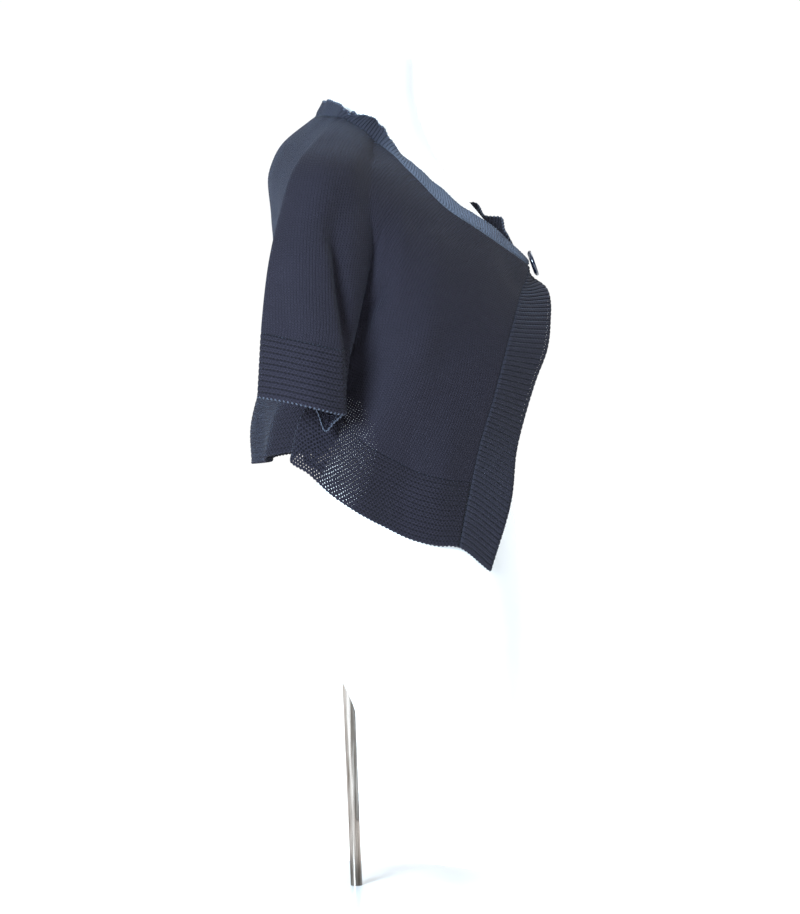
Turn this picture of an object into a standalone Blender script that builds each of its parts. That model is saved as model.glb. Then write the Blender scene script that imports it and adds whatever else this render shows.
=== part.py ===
"""Short knitted shrug, worn by a limbless dress form on a rod stand.

The shrug is one skin of knit. Wales, the lines of stitches that run down from the
neckline, carry its shape; courses, the lines that run round, are smooth curves through
them. The skin rests on the form where it touches it. It is then parted into the pieces
that a knitter makes, and each becomes a wall of its own with a fine gap at its seams.

Axes: the floor is z = 0, the rod's foot is at x = y = 0, the front is -Y and the wearer's
right is -X. The tables are in millimetres as (forward, up, out): forward of the rod's
foot, above the floor, and out from the middle to the wearer's right.
"""
import math

import bmesh
import bpy
import numpy as np
from mathutils import Matrix, Vector

MM = 0.001

# ---------------------------------------------------------------- driving sizes, mm
KNIT_WALL = 2.5
SEAM_GAP = 0.34
FORM_CLEARANCE = 1.5
COURSE_PITCH = 23.0
UPPER_COURSES = 8
BODY_COURSES = 6
SLEEVE_COURSES = 2

RIDGE_HEIGHT = 1.1
RIDGE_PITCH = 6.4
HEM_HEIGHT = 66.0
HEM_HEIGHT_AT = {"side": 58.0, "side_fold": 88.0, "front_6": 72.0}
CUFF_HEIGHT = 62.0
HEM_RIDGES = 10
CUFF_RIDGES = 10
INNER_STEP = 6

LAP_LIFT = 6.2
LAP_DIRECTION = (0.0, -0.92, 0.39)
LAP_NEAR = 22.0
LAP_FAR = 75.0
CLOSURE = (175.0, 655.0, 0.0)

COLLAR_ROWS = 2
RUFFLE_WAVE = 46.0
RUFFLE_HEIGHT = 7.0
RUFFLE_SWAY = 7.0
RUFFLE_SWAY_WAVE = 210.0

BUTTON_RADIUS = 14.0
BUTTON_BACK_RADIUS = 11.5
BUTTON_RIM = 2.6
BUTTON_THICKNESS = 4.6
BUTTON_DISH = 1.6
BUTTON_HOLE_RADIUS = 1.2
BUTTON_HOLE_CIRCLE = 3.4
BUTTON_CLEARANCE = 0.05
BUTTON_SEAT = (659.0, 2.0)

FORM_SIDES = 24
FORM_RING_PITCH = 30.0
ROD_RADIUS = 6.2
ROD_LEAN = math.radians(2.31)
ROD_TOP = 330.0
ROD_FOOT = 3.0
ROD_CLEARANCE = 0.35
ROD_SIDES = 24
BASE_RADIUS = 160.0
BASE_THICKNESS = 10.0
BASE_EDGE = 2.5
BASE_SIDES = 40

# ---------------------------------------------------------------- dress form
# up, back, front, half width, place of the widest line, front and back fullness
# (a fullness of 2 is an ellipse, less is more pointed, more is squarer)
FORM_SECTIONS = (
    (876.0, -16.0, 60.0, 48.0, 22.0, 2.1, 2.1),
    (834.0, -30.0, 62.0, 50.0, 17.0, 2.0, 2.1),
    (815.0, -37.0, 66.0, 54.0, 13.0, 1.9, 2.0),
    (797.0, -50.0, 73.0, 70.0, 4.0, 1.55, 1.7),
    (782.0, -66.0, 80.0, 97.0, -6.0, 1.35, 1.6),
    (766.0, -78.0, 88.0, 130.0, -12.0, 1.28, 1.6),
    (747.0, -82.0, 100.0, 160.0, -12.0, 1.33, 1.9),
    (724.0, -80.0, 121.0, 170.0, -10.0, 1.42, 2.1),
    (698.0, -73.0, 142.0, 169.0, -4.0, 1.55, 2.2),
    (661.0, -57.0, 166.0, 158.0, 6.0, 1.8, 2.2),
    (619.0, -40.0, 179.0, 144.0, 24.0, 2.0, 2.2),
    (577.0, -22.0, 177.0, 130.0, 45.0, 2.0, 2.2),
    (519.0, -10.0, 161.0, 116.0, 66.0, 2.0, 2.2),
    (467.0, -25.0, 160.0, 128.0, 64.0, 2.0, 2.2),
    (393.0, -59.0, 166.0, 152.0, 52.0, 2.0, 2.2),
    (330.0, -67.0, 173.0, 161.0, 46.0, 2.1, 2.2),
    (278.0, -54.0, 177.0, 163.0, 54.0, 2.3, 2.3),
    (234.0, -19.0, 178.0, 162.0, 70.0, 2.4, 2.5),
    (204.0, -4.0, 178.0, 160.0, 80.0, 2.4, 2.6),
    (141.0, 8.0, 172.0, 156.0, 86.0, 2.4, 2.6),
    (88.0, 15.0, 163.0, 150.0, 88.0, 2.4, 2.6),
    (78.0, 19.0, 159.0, 146.0, 88.0, 2.4, 2.6),
    (75.0, 26.0, 152.0, 139.0, 88.0, 2.4, 2.6),
)

# ---------------------------------------------------------------- wales of the right half
# name: points from the neckline to bust height, then from there to the hem or cuff,
# each (forward, up, out)
WALES = {
    "edge": (((170, 663, -13), (178, 646, 2), (193, 633, 15), (200, 615, 31), (200, 594, 46),
              (196, 569, 58)),
             ((184, 538, 68), (170, 493, 80), (163, 464, 90), (157, 414, 106), (136, 345, 121))),
    "band_seam": (((173, 656, 24), (171, 638, 46), (166, 618, 74), (153, 571, 104)),
                  ((138, 515, 118), (126, 476, 126), (112, 412, 140), (104, 370, 149))),
    "front_1": (((150, 675, 58), (144, 647, 88), (135, 611, 115), (125, 575, 128)),
                ((111, 516, 138), (92, 437, 152), (81, 372, 158))),
    "front_2": (((121, 692, 88), (113, 654, 120), (104, 615, 142), (95, 579, 150)),
                ((82, 516, 155), (64, 445, 163), (55, 379, 165))),
    "front_3": (((91, 711, 100), (85, 667, 140), (78, 622, 160), (71, 581, 166)),
                ((57, 517, 168), (40, 455, 170), (30, 391, 170))),
    "front_4": (((64, 738, 102), (62, 686, 145), (57, 631, 166), (51, 583, 169)),
                ((37, 522, 172), (14, 469, 177), (4, 405, 178))),
    "front_5": (((50, 752, 100), (50, 699, 148), (44, 639, 167), (37, 586, 167)),
                ((20, 530, 166), (-3, 478, 171), (-21, 422, 178))),
    "front_6": (((40, 763, 98), (40, 709, 150), (32, 645, 165), (23, 590, 161)),
                ((3, 540, 156), (-20, 497, 160), (-44, 443, 172))),
    "side_fold": (((29, 772, 95), (30, 717, 153), (25, 651, 163), (15, 593, 157)),
                  ((-2, 560, 155), (-30, 528, 152), (-53, 495, 154), (-62, 456, 160))),
    "raglan_front": (((18, 780, 92), (20, 751, 128), (21, 718, 153), (19, 658, 160),
                      (2, 590, 158)), ()),
    "side": ((), ((2, 590, 158), (-5, 552, 146), (-12, 516, 136), (-17, 478, 132))),
    "fold_ridge": (((13, 786, 91), (16, 757, 133), (16, 727, 160), (14, 662, 172),
                    (5, 595, 178)), ((-3, 562, 182), (-19, 492, 188))),
    "fold_face": (((7, 791, 90), (9, 763, 139), (7, 731, 171), (-1, 666, 190),
                   (-1, 595, 190)), ((-4, 564, 190), (-10, 500, 194))),
    "fold_valley": (((1, 795, 88), (2, 766, 143), (-3, 738, 181), (-20, 670, 198),
                     (-14, 594, 197)), ((-10, 563, 201), (-7, 503, 202))),
    "sleeve_front": (((-4, 798, 87), (-6, 769, 146), (-15, 739, 188), (-30, 684, 208),
                      (-24, 647, 212), (-15, 591, 216)), ((-11, 566, 217), (-9, 500, 212))),
    "sleeve_1": (((-8, 801, 85), (-16, 771, 148), (-27, 741, 191), (-45, 683, 211),
                  (-47, 647, 218), (-39, 591, 224)), ((-36, 566, 227), (-33, 505, 228))),
    "sleeve_2": (((-11, 803, 84), (-27, 772, 147), (-44, 741, 187), (-61, 687, 204),
                  (-66, 647, 215), (-67, 589, 222)), ((-66, 570, 225), (-63, 512, 226))),
    "sleeve_rear": (((-13, 803, 83), (-37, 772, 143), (-58, 740, 177), (-71, 695, 190),
                     (-81, 645, 204), (-87, 590, 209)), ((-88, 572, 211), (-91, 517, 210))),
    "sleeve_inside": (((-15, 804, 81), (-41, 771, 138), (-62, 734, 166), (-68, 689, 176),
                       (-67, 647, 184), (-59, 591, 188)), ((-53, 568, 188), (-40, 510, 188))),
    "raglan_back": (((-18, 805, 79), (-44, 769, 132), (-63, 728, 158), (-62, 688, 165),
                     (-43, 638, 166), (2, 590, 158)), ()),
    "underarm": ((), ((2, 590, 158), (-7, 557, 172), (-27, 484, 186))),
    "back_1": (((-24, 807, 66), (-53, 771, 108), (-70, 731, 130), (-72, 690, 136),
                (-62, 640, 138), (-32, 591, 140)),
               ((-36, 546, 126), (-47, 507, 118), (-53, 467, 116))),
    "back_2": (((-32, 810, 50), (-63, 774, 82), (-76, 736, 102), (-76, 696, 106),
                (-71, 643, 108), (-59, 592, 108)),
               ((-66, 537, 98), (-82, 497, 94), (-90, 460, 92))),
    "back_3": (((-39, 812, 28), (-75, 777, 48), (-85, 743, 62), (-84, 702, 64),
                (-81, 646, 64), (-80, 595, 64)),
               ((-86, 538, 58), (-92, 497, 54), (-93, 455, 52))),
    "centre_back": (((-44, 815, 0), (-80, 783, 0), (-91, 750, 0), (-88, 710, 0),
                     (-88, 650, 0), (-93, 598, 0)),
                    ((-99, 540, 0), (-110, 490, 0), (-109, 453, 0))),
}
YOKE_ORDER = ("edge", "band_seam", "front_1", "front_2", "front_3", "front_4", "front_5",
              "front_6", "side_fold", "raglan_front", "fold_ridge", "fold_face",
              "fold_valley", "sleeve_front", "sleeve_1", "sleeve_2", "sleeve_rear",
              "sleeve_inside", "raglan_back", "back_1", "back_2", "back_3", "centre_back")
BODY_ORDER = ("edge", "band_seam", "front_1", "front_2", "front_3", "front_4", "front_5",
              "front_6", "side_fold", "side", "back_1", "back_2", "back_3", "centre_back")
SLEEVE_ORDER = ("underarm", "fold_ridge", "fold_face", "fold_valley", "sleeve_front",
                "sleeve_1", "sleeve_2", "sleeve_rear", "sleeve_inside", "underarm")

# free edge of the neck band from its seam: wale, forward, up, out, and the share of the
# ruffle on the wearer's right and left
COLLAR_LEAN = (
    ("edge", -2.0, 5.0, -1.0, 0.0, 0.0),
    ("band_seam", 0.0, 7.0, -7.0, 0.0, 0.0),
    ("front_1", 7.0, 9.0, -14.0, 0.0, 0.2),
    ("front_2", 9.0, 11.0, -15.0, 0.04, 0.35),
    ("front_3", 8.0, 12.0, -13.0, 0.06, 0.45),
    ("front_4", 8.0, 12.0, -11.0, 0.1, 0.55),
    ("front_5", 7.5, 12.5, -9.5, 0.25, 0.7),
    ("side_fold", 7.0, 13.0, -8.0, 0.9, 0.9),
    ("sleeve_front", 7.0, 15.0, -3.0, 1.0, 1.0),
    ("raglan_back", 4.0, 16.0, 0.0, 1.0, 1.0),
    ("back_2", 4.0, 17.0, 1.0, 1.0, 1.0),
    ("centre_back", 4.0, 18.0, 0.0, 0.9, 0.9),
)

# colour, roughness, metallic
FINISHES = {
    "navy_knit": ((0.018, 0.030, 0.075, 1.0), 0.92, 0.0),
    "white_form": ((0.86, 0.86, 0.85, 1.0), 0.45, 0.0),
    "polished_steel": ((0.55, 0.54, 0.53, 1.0), 0.18, 1.0),
    "white_enamel": ((0.84, 0.84, 0.84, 1.0), 0.4, 0.0),
    "navy_button": ((0.012, 0.016, 0.035, 1.0), 0.12, 0.0),
}


# ---------------------------------------------------------------- curves
def to_space(forward, up, out):
    """Return the point in metres of a table entry."""
    return np.array((-out, -forward, up)) * MM


def knots(points):
    """Return centripetal knot values of a run of points."""
    steps = np.sqrt(np.maximum(np.linalg.norm(np.diff(points, axis=0), axis=1), 1e-7))
    return np.concatenate(([0.0], np.cumsum(steps)))


def span_points(four, shares):
    """Return points on a Catmull-Rom span between the second and third of four."""
    t = knots(four)
    at = (t[1] + (t[2] - t[1]) * np.asarray(shares))[:, None]
    a1 = ((t[1] - at) * four[0] + (at - t[0]) * four[1]) / (t[1] - t[0])
    a2 = ((t[2] - at) * four[1] + (at - t[1]) * four[2]) / (t[2] - t[1])
    a3 = ((t[3] - at) * four[2] + (at - t[2]) * four[3]) / (t[3] - t[2])
    b1 = ((t[2] - at) * a1 + (at - t[0]) * a2) / (t[2] - t[0])
    b2 = ((t[3] - at) * a2 + (at - t[1]) * a3) / (t[3] - t[1])
    return ((t[2] - at) * b1 + (at - t[1]) * b2) / (t[2] - t[1])


def curve_through(points, steps, closed=False):
    """Return a smooth run through points, with steps[i] intervals in span i."""
    points = np.asarray(points, dtype=float)
    if closed:
        padded = np.vstack((points[-2], points, points[1]))
    else:
        first = 2.0 * points[0] - points[1]
        last = 2.0 * points[-1] - points[-2]
        padded = np.vstack((first, points, last))
    run = [points[:1]]
    for span, count in enumerate(steps):
        shares = np.arange(1, count + 1) / count
        run.append(span_points(padded[span:span + 4], shares))
    return np.vstack(run)


def lengths_along(run):
    """Return the distance along a run at each of its points."""
    return np.concatenate(([0.0], np.cumsum(np.linalg.norm(np.diff(run, axis=0), axis=1))))


def points_at(run, distances):
    """Return the points of a run at given distances along it."""
    along = lengths_along(run)
    return np.column_stack([np.interp(distances, along, run[:, k]) for k in range(3)])


# ---------------------------------------------------------------- shape of the form
def dense_sections():
    """Return the form's sections, smoothed, from the bottom up."""
    rows = np.array(FORM_SECTIONS)
    tangent = np.gradient(rows, rows[:, 0], axis=0)
    levels, result = [], []
    for row in range(len(rows) - 1):
        for share in np.linspace(0.0, 1.0, 9)[:-1]:
            height = rows[row + 1, 0] - rows[row, 0]
            h00 = 2 * share**3 - 3 * share**2 + 1
            h10 = share**3 - 2 * share**2 + share
            h01 = -2 * share**3 + 3 * share**2
            h11 = share**3 - share**2
            mix = (h00 * rows[row] + h10 * height * tangent[row]
                   + h01 * rows[row + 1] + h11 * height * tangent[row + 1])
            levels.append(mix[0])
            result.append(mix[1:])
    levels.append(rows[-1, 0])
    result.append(rows[-1, 1:])
    return np.array(levels[::-1]), np.array(result[::-1])


LEVELS, SECTIONS = dense_sections()


def section_at(up):
    """Return back, front, half width, widest line and fullnesses at heights in mm."""
    return [np.interp(up, LEVELS, SECTIONS[:, k]) for k in range(6)]


def form_distance(points):
    """Return about how far points lie outside the form, level, in metres."""
    back, front, half, widest, full_front, full_back = section_at(points[:, 2] / MM)
    forward = -points[:, 1] / MM - widest
    out = np.abs(points[:, 0]) / MM
    ahead = forward > 0
    depth = np.where(ahead, front - widest, widest - back)
    full = np.where(ahead, full_front, full_back)
    ratio = ((out / half)**full + (np.abs(forward) / depth)**full)**(1.0 / full)
    ratio = np.maximum(ratio, 1e-6)
    return (1.0 - 1.0 / ratio) * np.hypot(out, forward) * MM


def rest_on_form(points, clearance):
    """Return points moved out, where needed, to lie clear of the form."""
    points = points.copy()
    probe = 0.5 * MM
    for _ in range(8):
        level = form_distance(points)
        slope = np.column_stack([
            form_distance(points + axis * probe) - form_distance(points - axis * probe)
            for axis in np.eye(3)]) / (2.0 * probe)
        steep = np.maximum(np.linalg.norm(slope, axis=1), 0.2)
        short = np.maximum(clearance - level / steep, 0.0)
        points += slope / steep[:, None] * short[:, None]
    return points


# ---------------------------------------------------------------- the skin of the shrug
def mirrored(points):
    """Return points of the wearer's left from those of the right."""
    return points * np.array((-1.0, 1.0, 1.0))


def wale_runs(name):
    """Return the smooth upper and lower run of one wale."""
    upper, lower = WALES[name]
    keys = [to_space(*point) for point in upper + lower]
    fine = 10
    run = curve_through(keys, [fine] * (len(keys) - 1))
    bust = max(len(upper) - 1, 0) * fine
    return run[:bust + 1], run[bust:]


def even_rows(run, count):
    """Return count + 1 points evenly along a run."""
    return points_at(run, np.linspace(0.0, lengths_along(run)[-1], count + 1))


def lower_rows(run, panel_courses, band_height, band_courses):
    """Return even points down a lower run, close together in its edge band."""
    total = lengths_along(run)[-1]
    start = total - band_height * MM
    panel = np.linspace(0.0, start, panel_courses + 1)
    band = np.linspace(start, total, band_courses + 1)[1:]
    return points_at(run, np.concatenate((panel, band)))


def interval_steps(tables, closed_names):
    """Return how many columns each pair of neighbouring wales has between them."""
    steps = {}
    for order, rows in tables:
        for left, right in zip(range(len(order) - 1), range(1, len(order))):
            pair = (order[left], order[right])
            widest = np.linalg.norm(rows[:, right] - rows[:, left], axis=1).max()
            steps[pair] = max(1, math.ceil(widest / (COURSE_PITCH * MM)))
    for pair, twin in closed_names:
        most = max(steps[pair], steps[twin])
        steps[pair] = steps[twin] = most
    return steps


def lap(points):
    """Return points of the right front lifted over the left near the closure."""
    away = np.linalg.norm(points - to_space(*CLOSURE), axis=-1) / MM
    share = np.clip((LAP_FAR - away) / (LAP_FAR - LAP_NEAR), 0.0, 1.0)
    share = share * share * (3.0 - 2.0 * share)
    return points + share[..., None] * np.array(LAP_DIRECTION) * LAP_LIFT * MM


def clear_rows(grid):
    """Return a grid of points rested on the form."""
    clearance = (KNIT_WALL / 2.0 + FORM_CLEARANCE) * MM
    flat = rest_on_form(grid.reshape(-1, 3), clearance)
    return flat.reshape(grid.shape)


def skin_grids():
    """Return the grids of the yoke, body and sleeve, and the columns of their wales."""
    uppers = {name: wale_runs(name)[0] for name in YOKE_ORDER}
    lowers = {name: wale_runs(name)[1] for name in set(BODY_ORDER + SLEEVE_ORDER)}
    yoke_keys = np.stack([even_rows(uppers[n], UPPER_COURSES) for n in YOKE_ORDER], axis=1)
    body_keys = np.stack([lower_rows(lowers[n], BODY_COURSES,
                                     HEM_HEIGHT_AT.get(n, HEM_HEIGHT), 2 * HEM_RIDGES)
                          for n in BODY_ORDER], axis=1)
    sleeve_keys = np.stack([lower_rows(lowers[n], SLEEVE_COURSES, CUFF_HEIGHT,
                                       2 * CUFF_RIDGES) for n in SLEEVE_ORDER], axis=1)
    twins = [(("side_fold", "raglan_front"), ("side_fold", "side")),
             (("raglan_back", "back_1"), ("side", "back_1")),
             (("raglan_front", "fold_ridge"), ("underarm", "fold_ridge")),
             (("sleeve_inside", "raglan_back"), ("sleeve_inside", "underarm"))]
    steps = interval_steps(((YOKE_ORDER, yoke_keys), (BODY_ORDER, body_keys),
                            (SLEEVE_ORDER, sleeve_keys)), twins)

    def spans(order):
        return [steps[pair] for pair in zip(order[:-1], order[1:])]

    def columns(order):
        return dict(zip(order, np.concatenate(([0], np.cumsum(spans(order))))))

    def both_sides(keys, order):
        half = spans(order)
        rows = []
        for row in keys:
            ring = np.vstack((row, mirrored(row[-2::-1])))
            rows.append(curve_through(ring, half + half[::-1]))
        return np.stack(rows)

    yoke = clear_rows(both_sides(yoke_keys, YOKE_ORDER))
    body = clear_rows(both_sides(body_keys, BODY_ORDER))
    sleeve = np.stack([curve_through(row, spans(SLEEVE_ORDER), closed=True)
                       for row in sleeve_keys])
    yoke_at, body_at = columns(YOKE_ORDER), columns(BODY_ORDER)
    last = yoke[-1]
    body[0, :body_at["side"] + 1] = last[:yoke_at["raglan_front"] + 1]
    back = last[yoke_at["raglan_back"]:len(last) - yoke_at["raglan_back"]]
    body[0, body_at["side"]:body.shape[1] - body_at["side"]] = back
    body[0, body.shape[1] - body_at["side"] - 1:] = last[len(last) - yoke_at["raglan_front"] - 1:]
    sleeve[0] = last[yoke_at["raglan_front"]:yoke_at["raglan_back"] + 1]
    middle = yoke_at["centre_back"]
    yoke[:, :middle] = lap(yoke[:, :middle])
    body_middle = body_at["centre_back"]
    body[:, :body_middle] = lap(body[:, :body_middle])
    return yoke, body, sleeve, yoke_at, body_at


def collar_base(yoke, yoke_at):
    """Return the neck band's lean and ruffle share at each column of the neckline."""
    at = [yoke_at[row[0]] for row in COLLAR_LEAN]
    places = np.arange(yoke_at["centre_back"] + 1)
    lean = [np.interp(places, at, [row[k] for row in COLLAR_LEAN]) for k in (1, 2, 3, 4, 5)]
    right = np.column_stack((-lean[2], -lean[0], lean[1])) * MM
    left = mirrored(right[-2::-1])
    share = np.concatenate((lean[3], lean[4][-2::-1]))
    return np.vstack((right, left)), share


def unit(vectors):
    """Return vectors of length one."""
    return vectors / np.maximum(np.linalg.norm(vectors, axis=-1, keepdims=True), 1e-12)


def shared_normals(grids):
    """Return the normals of several grids, averaged where their points coincide."""
    total = {}

    def key(point):
        return tuple(np.round(point, 6))

    for grid in grids:
        across = grid[:-1, 1:] - grid[1:, :-1]
        down = grid[1:, 1:] - grid[:-1, :-1]
        face = np.cross(across, down)
        for row in range(face.shape[0]):
            for col in range(face.shape[1]):
                for i, j in ((0, 0), (1, 0), (0, 1), (1, 1)):
                    spot = key(grid[row + i, col + j])
                    total[spot] = total.get(spot, 0.0) + face[row, col]
    return [unit(np.array([[total[key(p)] for p in row] for row in grid])) for grid in grids]


# ---------------------------------------------------------------- solids
def new_object(name, mesh, finish):
    """Add an object with its own material to the scene."""
    made = bpy.data.objects.new(name, mesh)
    bpy.context.scene.collection.objects.link(made)
    colour, roughness, metallic = FINISHES[finish]
    material = bpy.data.materials.new(name + "_finish")
    material.use_nodes = True
    shader = material.node_tree.nodes["Principled BSDF"]
    shader.inputs["Base Color"].default_value = colour
    shader.inputs["Roughness"].default_value = roughness
    shader.inputs["Metallic"].default_value = metallic
    mesh.materials.append(material)
    return made


def closed_mesh(name, points, faces):
    """Return a mesh of points and faces with its faces turned outwards."""
    work = bmesh.new()
    verts = [work.verts.new(Vector(point)) for point in points]
    for face in faces:
        work.faces.new([verts[index] for index in face])
    bmesh.ops.recalc_face_normals(work, faces=work.faces)
    mesh = bpy.data.meshes.new(name)
    work.to_mesh(mesh)
    work.free()
    mesh.shade_smooth()
    mesh.set_sharp_from_angle(angle=math.radians(50.0))
    return mesh


def parted(grid):
    """Return a grid drawn in along its four sides by half a seam gap."""
    half = SEAM_GAP * MM / 2.0
    drawn = grid.copy()
    drawn[0] += unit(grid[1] - grid[0]) * half
    drawn[-1] += unit(grid[-2] - grid[-1]) * half
    drawn[:, 0] += unit(grid[:, 1] - grid[:, 0]) * half
    drawn[:, -1] += unit(grid[:, -2] - grid[:, -1]) * half
    return drawn


def knit_wall(name, grid, normals, raised=None, kept=None):
    """Add one knitted piece and return the points of its outer face.

    grid and normals are rows by columns, raised is how far each outer point stands
    proud, and kept are the rows that the plain inside has.
    """
    rows, cols = grid.shape[:2]
    if raised is None:
        raised = np.zeros((rows, cols))
    if kept is None:
        kept = list(range(rows))
    grid = parted(grid)
    half = KNIT_WALL * MM / 2.0
    outer = grid + normals * (half + raised * MM)[..., None]
    inner = (grid - normals * half)[kept]
    points = np.vstack((outer.reshape(-1, 3), inner.reshape(-1, 3)))
    base = rows * cols

    def out_at(row, col):
        return row * cols + col

    def in_at(row, col):
        return base + row * cols + col

    faces = [(out_at(i, j), out_at(i, j + 1), out_at(i + 1, j + 1), out_at(i + 1, j))
             for i in range(rows - 1) for j in range(cols - 1)]
    faces += [(in_at(i, j), in_at(i + 1, j), in_at(i + 1, j + 1), in_at(i, j + 1))
              for i in range(len(kept) - 1) for j in range(cols - 1)]
    for j in range(cols - 1):
        faces.append((out_at(0, j), in_at(0, j), in_at(0, j + 1), out_at(0, j + 1)))
        end = len(kept) - 1
        faces.append((out_at(rows - 1, j), out_at(rows - 1, j + 1), in_at(end, j + 1),
                      in_at(end, j)))
    for i, (top, bottom) in enumerate(zip(kept[:-1], kept[1:])):
        for j in (0, cols - 1):
            rim = [out_at(row, j) for row in range(top, bottom + 1)]
            faces.append(tuple(rim) + (in_at(i + 1, j), in_at(i, j)))
    new_object(name, closed_mesh(name, points, faces), "navy_knit")
    return outer.reshape(-1, 3)


def ridges(rows, cols):
    """Return the height of garter ridges that run along the columns."""
    raised = np.zeros((rows, cols))
    raised[1:-1:2] = RIDGE_HEIGHT
    return raised


def subdivided(grid, counts):
    """Return a grid with counts[i] straight steps between its rows i and i + 1."""
    rows = [grid[:1]]
    for row, count in enumerate(counts):
        for step in range(1, count + 1):
            share = step / count
            rows.append((grid[row] * (1.0 - share) + grid[row + 1] * share)[None])
    return np.vstack(rows)


def ridge_counts(grid):
    """Return how many ridge steps each row of a grid takes, two to a ridge."""
    gaps = np.linalg.norm(np.diff(grid, axis=0), axis=2).mean(axis=1) / MM
    return [2 * max(1, round(gap / RIDGE_PITCH)) for gap in gaps]


# ---------------------------------------------------------------- pieces of the shrug
def front_band(name, grid, normals, courses):
    """Add a front band, its ridges across it, and return its outer points."""
    counts = ridge_counts(grid[:courses + 1]) + [1] * (len(grid) - courses - 1)
    kept = list(np.concatenate(([0], np.cumsum(counts[:courses]))))
    fine = subdivided(grid, counts)
    fine_normals = subdivided(normals, counts)
    kept += list(range(kept[-1] + INNER_STEP, len(fine) - 1, INNER_STEP)) + [len(fine) - 1]
    raised = ridges(*fine.shape[:2])
    seam = 0 if np.linalg.norm(grid[-1, 0]) < np.linalg.norm(grid[-1, -1]) else -1
    raised[:, seam] *= 0.5
    return knit_wall(name, fine, fine_normals, raised, kept)


def collar(yoke, seam_normals, yoke_at):
    """Add the ruffled neck band round the neckline and return its outer points."""
    lean, share = collar_base(yoke, yoke_at)
    seam = yoke[0]
    gaps = np.linalg.norm(np.diff(seam, axis=0), axis=1) / MM
    counts = [2 * max(1, round(gap / RIDGE_PITCH)) for gap in gaps]
    fine_seam = subdivided(seam, counts)
    fine_normals = subdivided(seam_normals, counts)
    fine_lean = subdivided(lean, counts)
    fine_share = subdivided(share[:, None], counts)[:, 0]
    along = lengths_along(fine_seam) / MM
    tangent = unit(np.gradient(fine_seam, axis=0))
    outward = unit(np.cross(tangent, fine_lean))
    middle = along[len(along) // 2]
    phase = (along - middle) + RUFFLE_SWAY * np.sin(2 * math.pi * along / RUFFLE_SWAY_WAVE)
    wave = np.cos(2 * math.pi * phase / RUFFLE_WAVE) * RUFFLE_HEIGHT * MM * fine_share
    columns = []
    for row in range(COLLAR_ROWS + 1):
        part = row / COLLAR_ROWS
        point = fine_seam + fine_lean * part
        point = point - outward * (wave * part**1.5)[:, None]
        columns.append(point)
    grid = np.stack(columns, axis=1)
    clearance = (KNIT_WALL / 2.0 + FORM_CLEARANCE) * MM
    free = rest_on_form(grid[:, 1:].reshape(-1, 3), clearance)
    grid[:, 1:] = free.reshape(grid[:, 1:].shape)
    grid_down = grid[:, ::-1].transpose(1, 0, 2)
    normals = shared_normals([grid_down])[0].transpose(1, 0, 2)[:, ::-1].copy()
    normals[:, 0] = fine_normals
    raised = np.zeros(grid.shape[:2])
    raised[1:-1:2] = RIDGE_HEIGHT
    raised[:, 0] = 0.0
    starts = np.concatenate(([0], np.cumsum(counts)))
    kept = sorted(set(starts) | {start + count // 2 // 2 * 2 for start, count
                                 in zip(starts, counts) if count >= 4})
    return knit_wall("collar", grid, normals, raised, [int(k) for k in kept])


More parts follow.
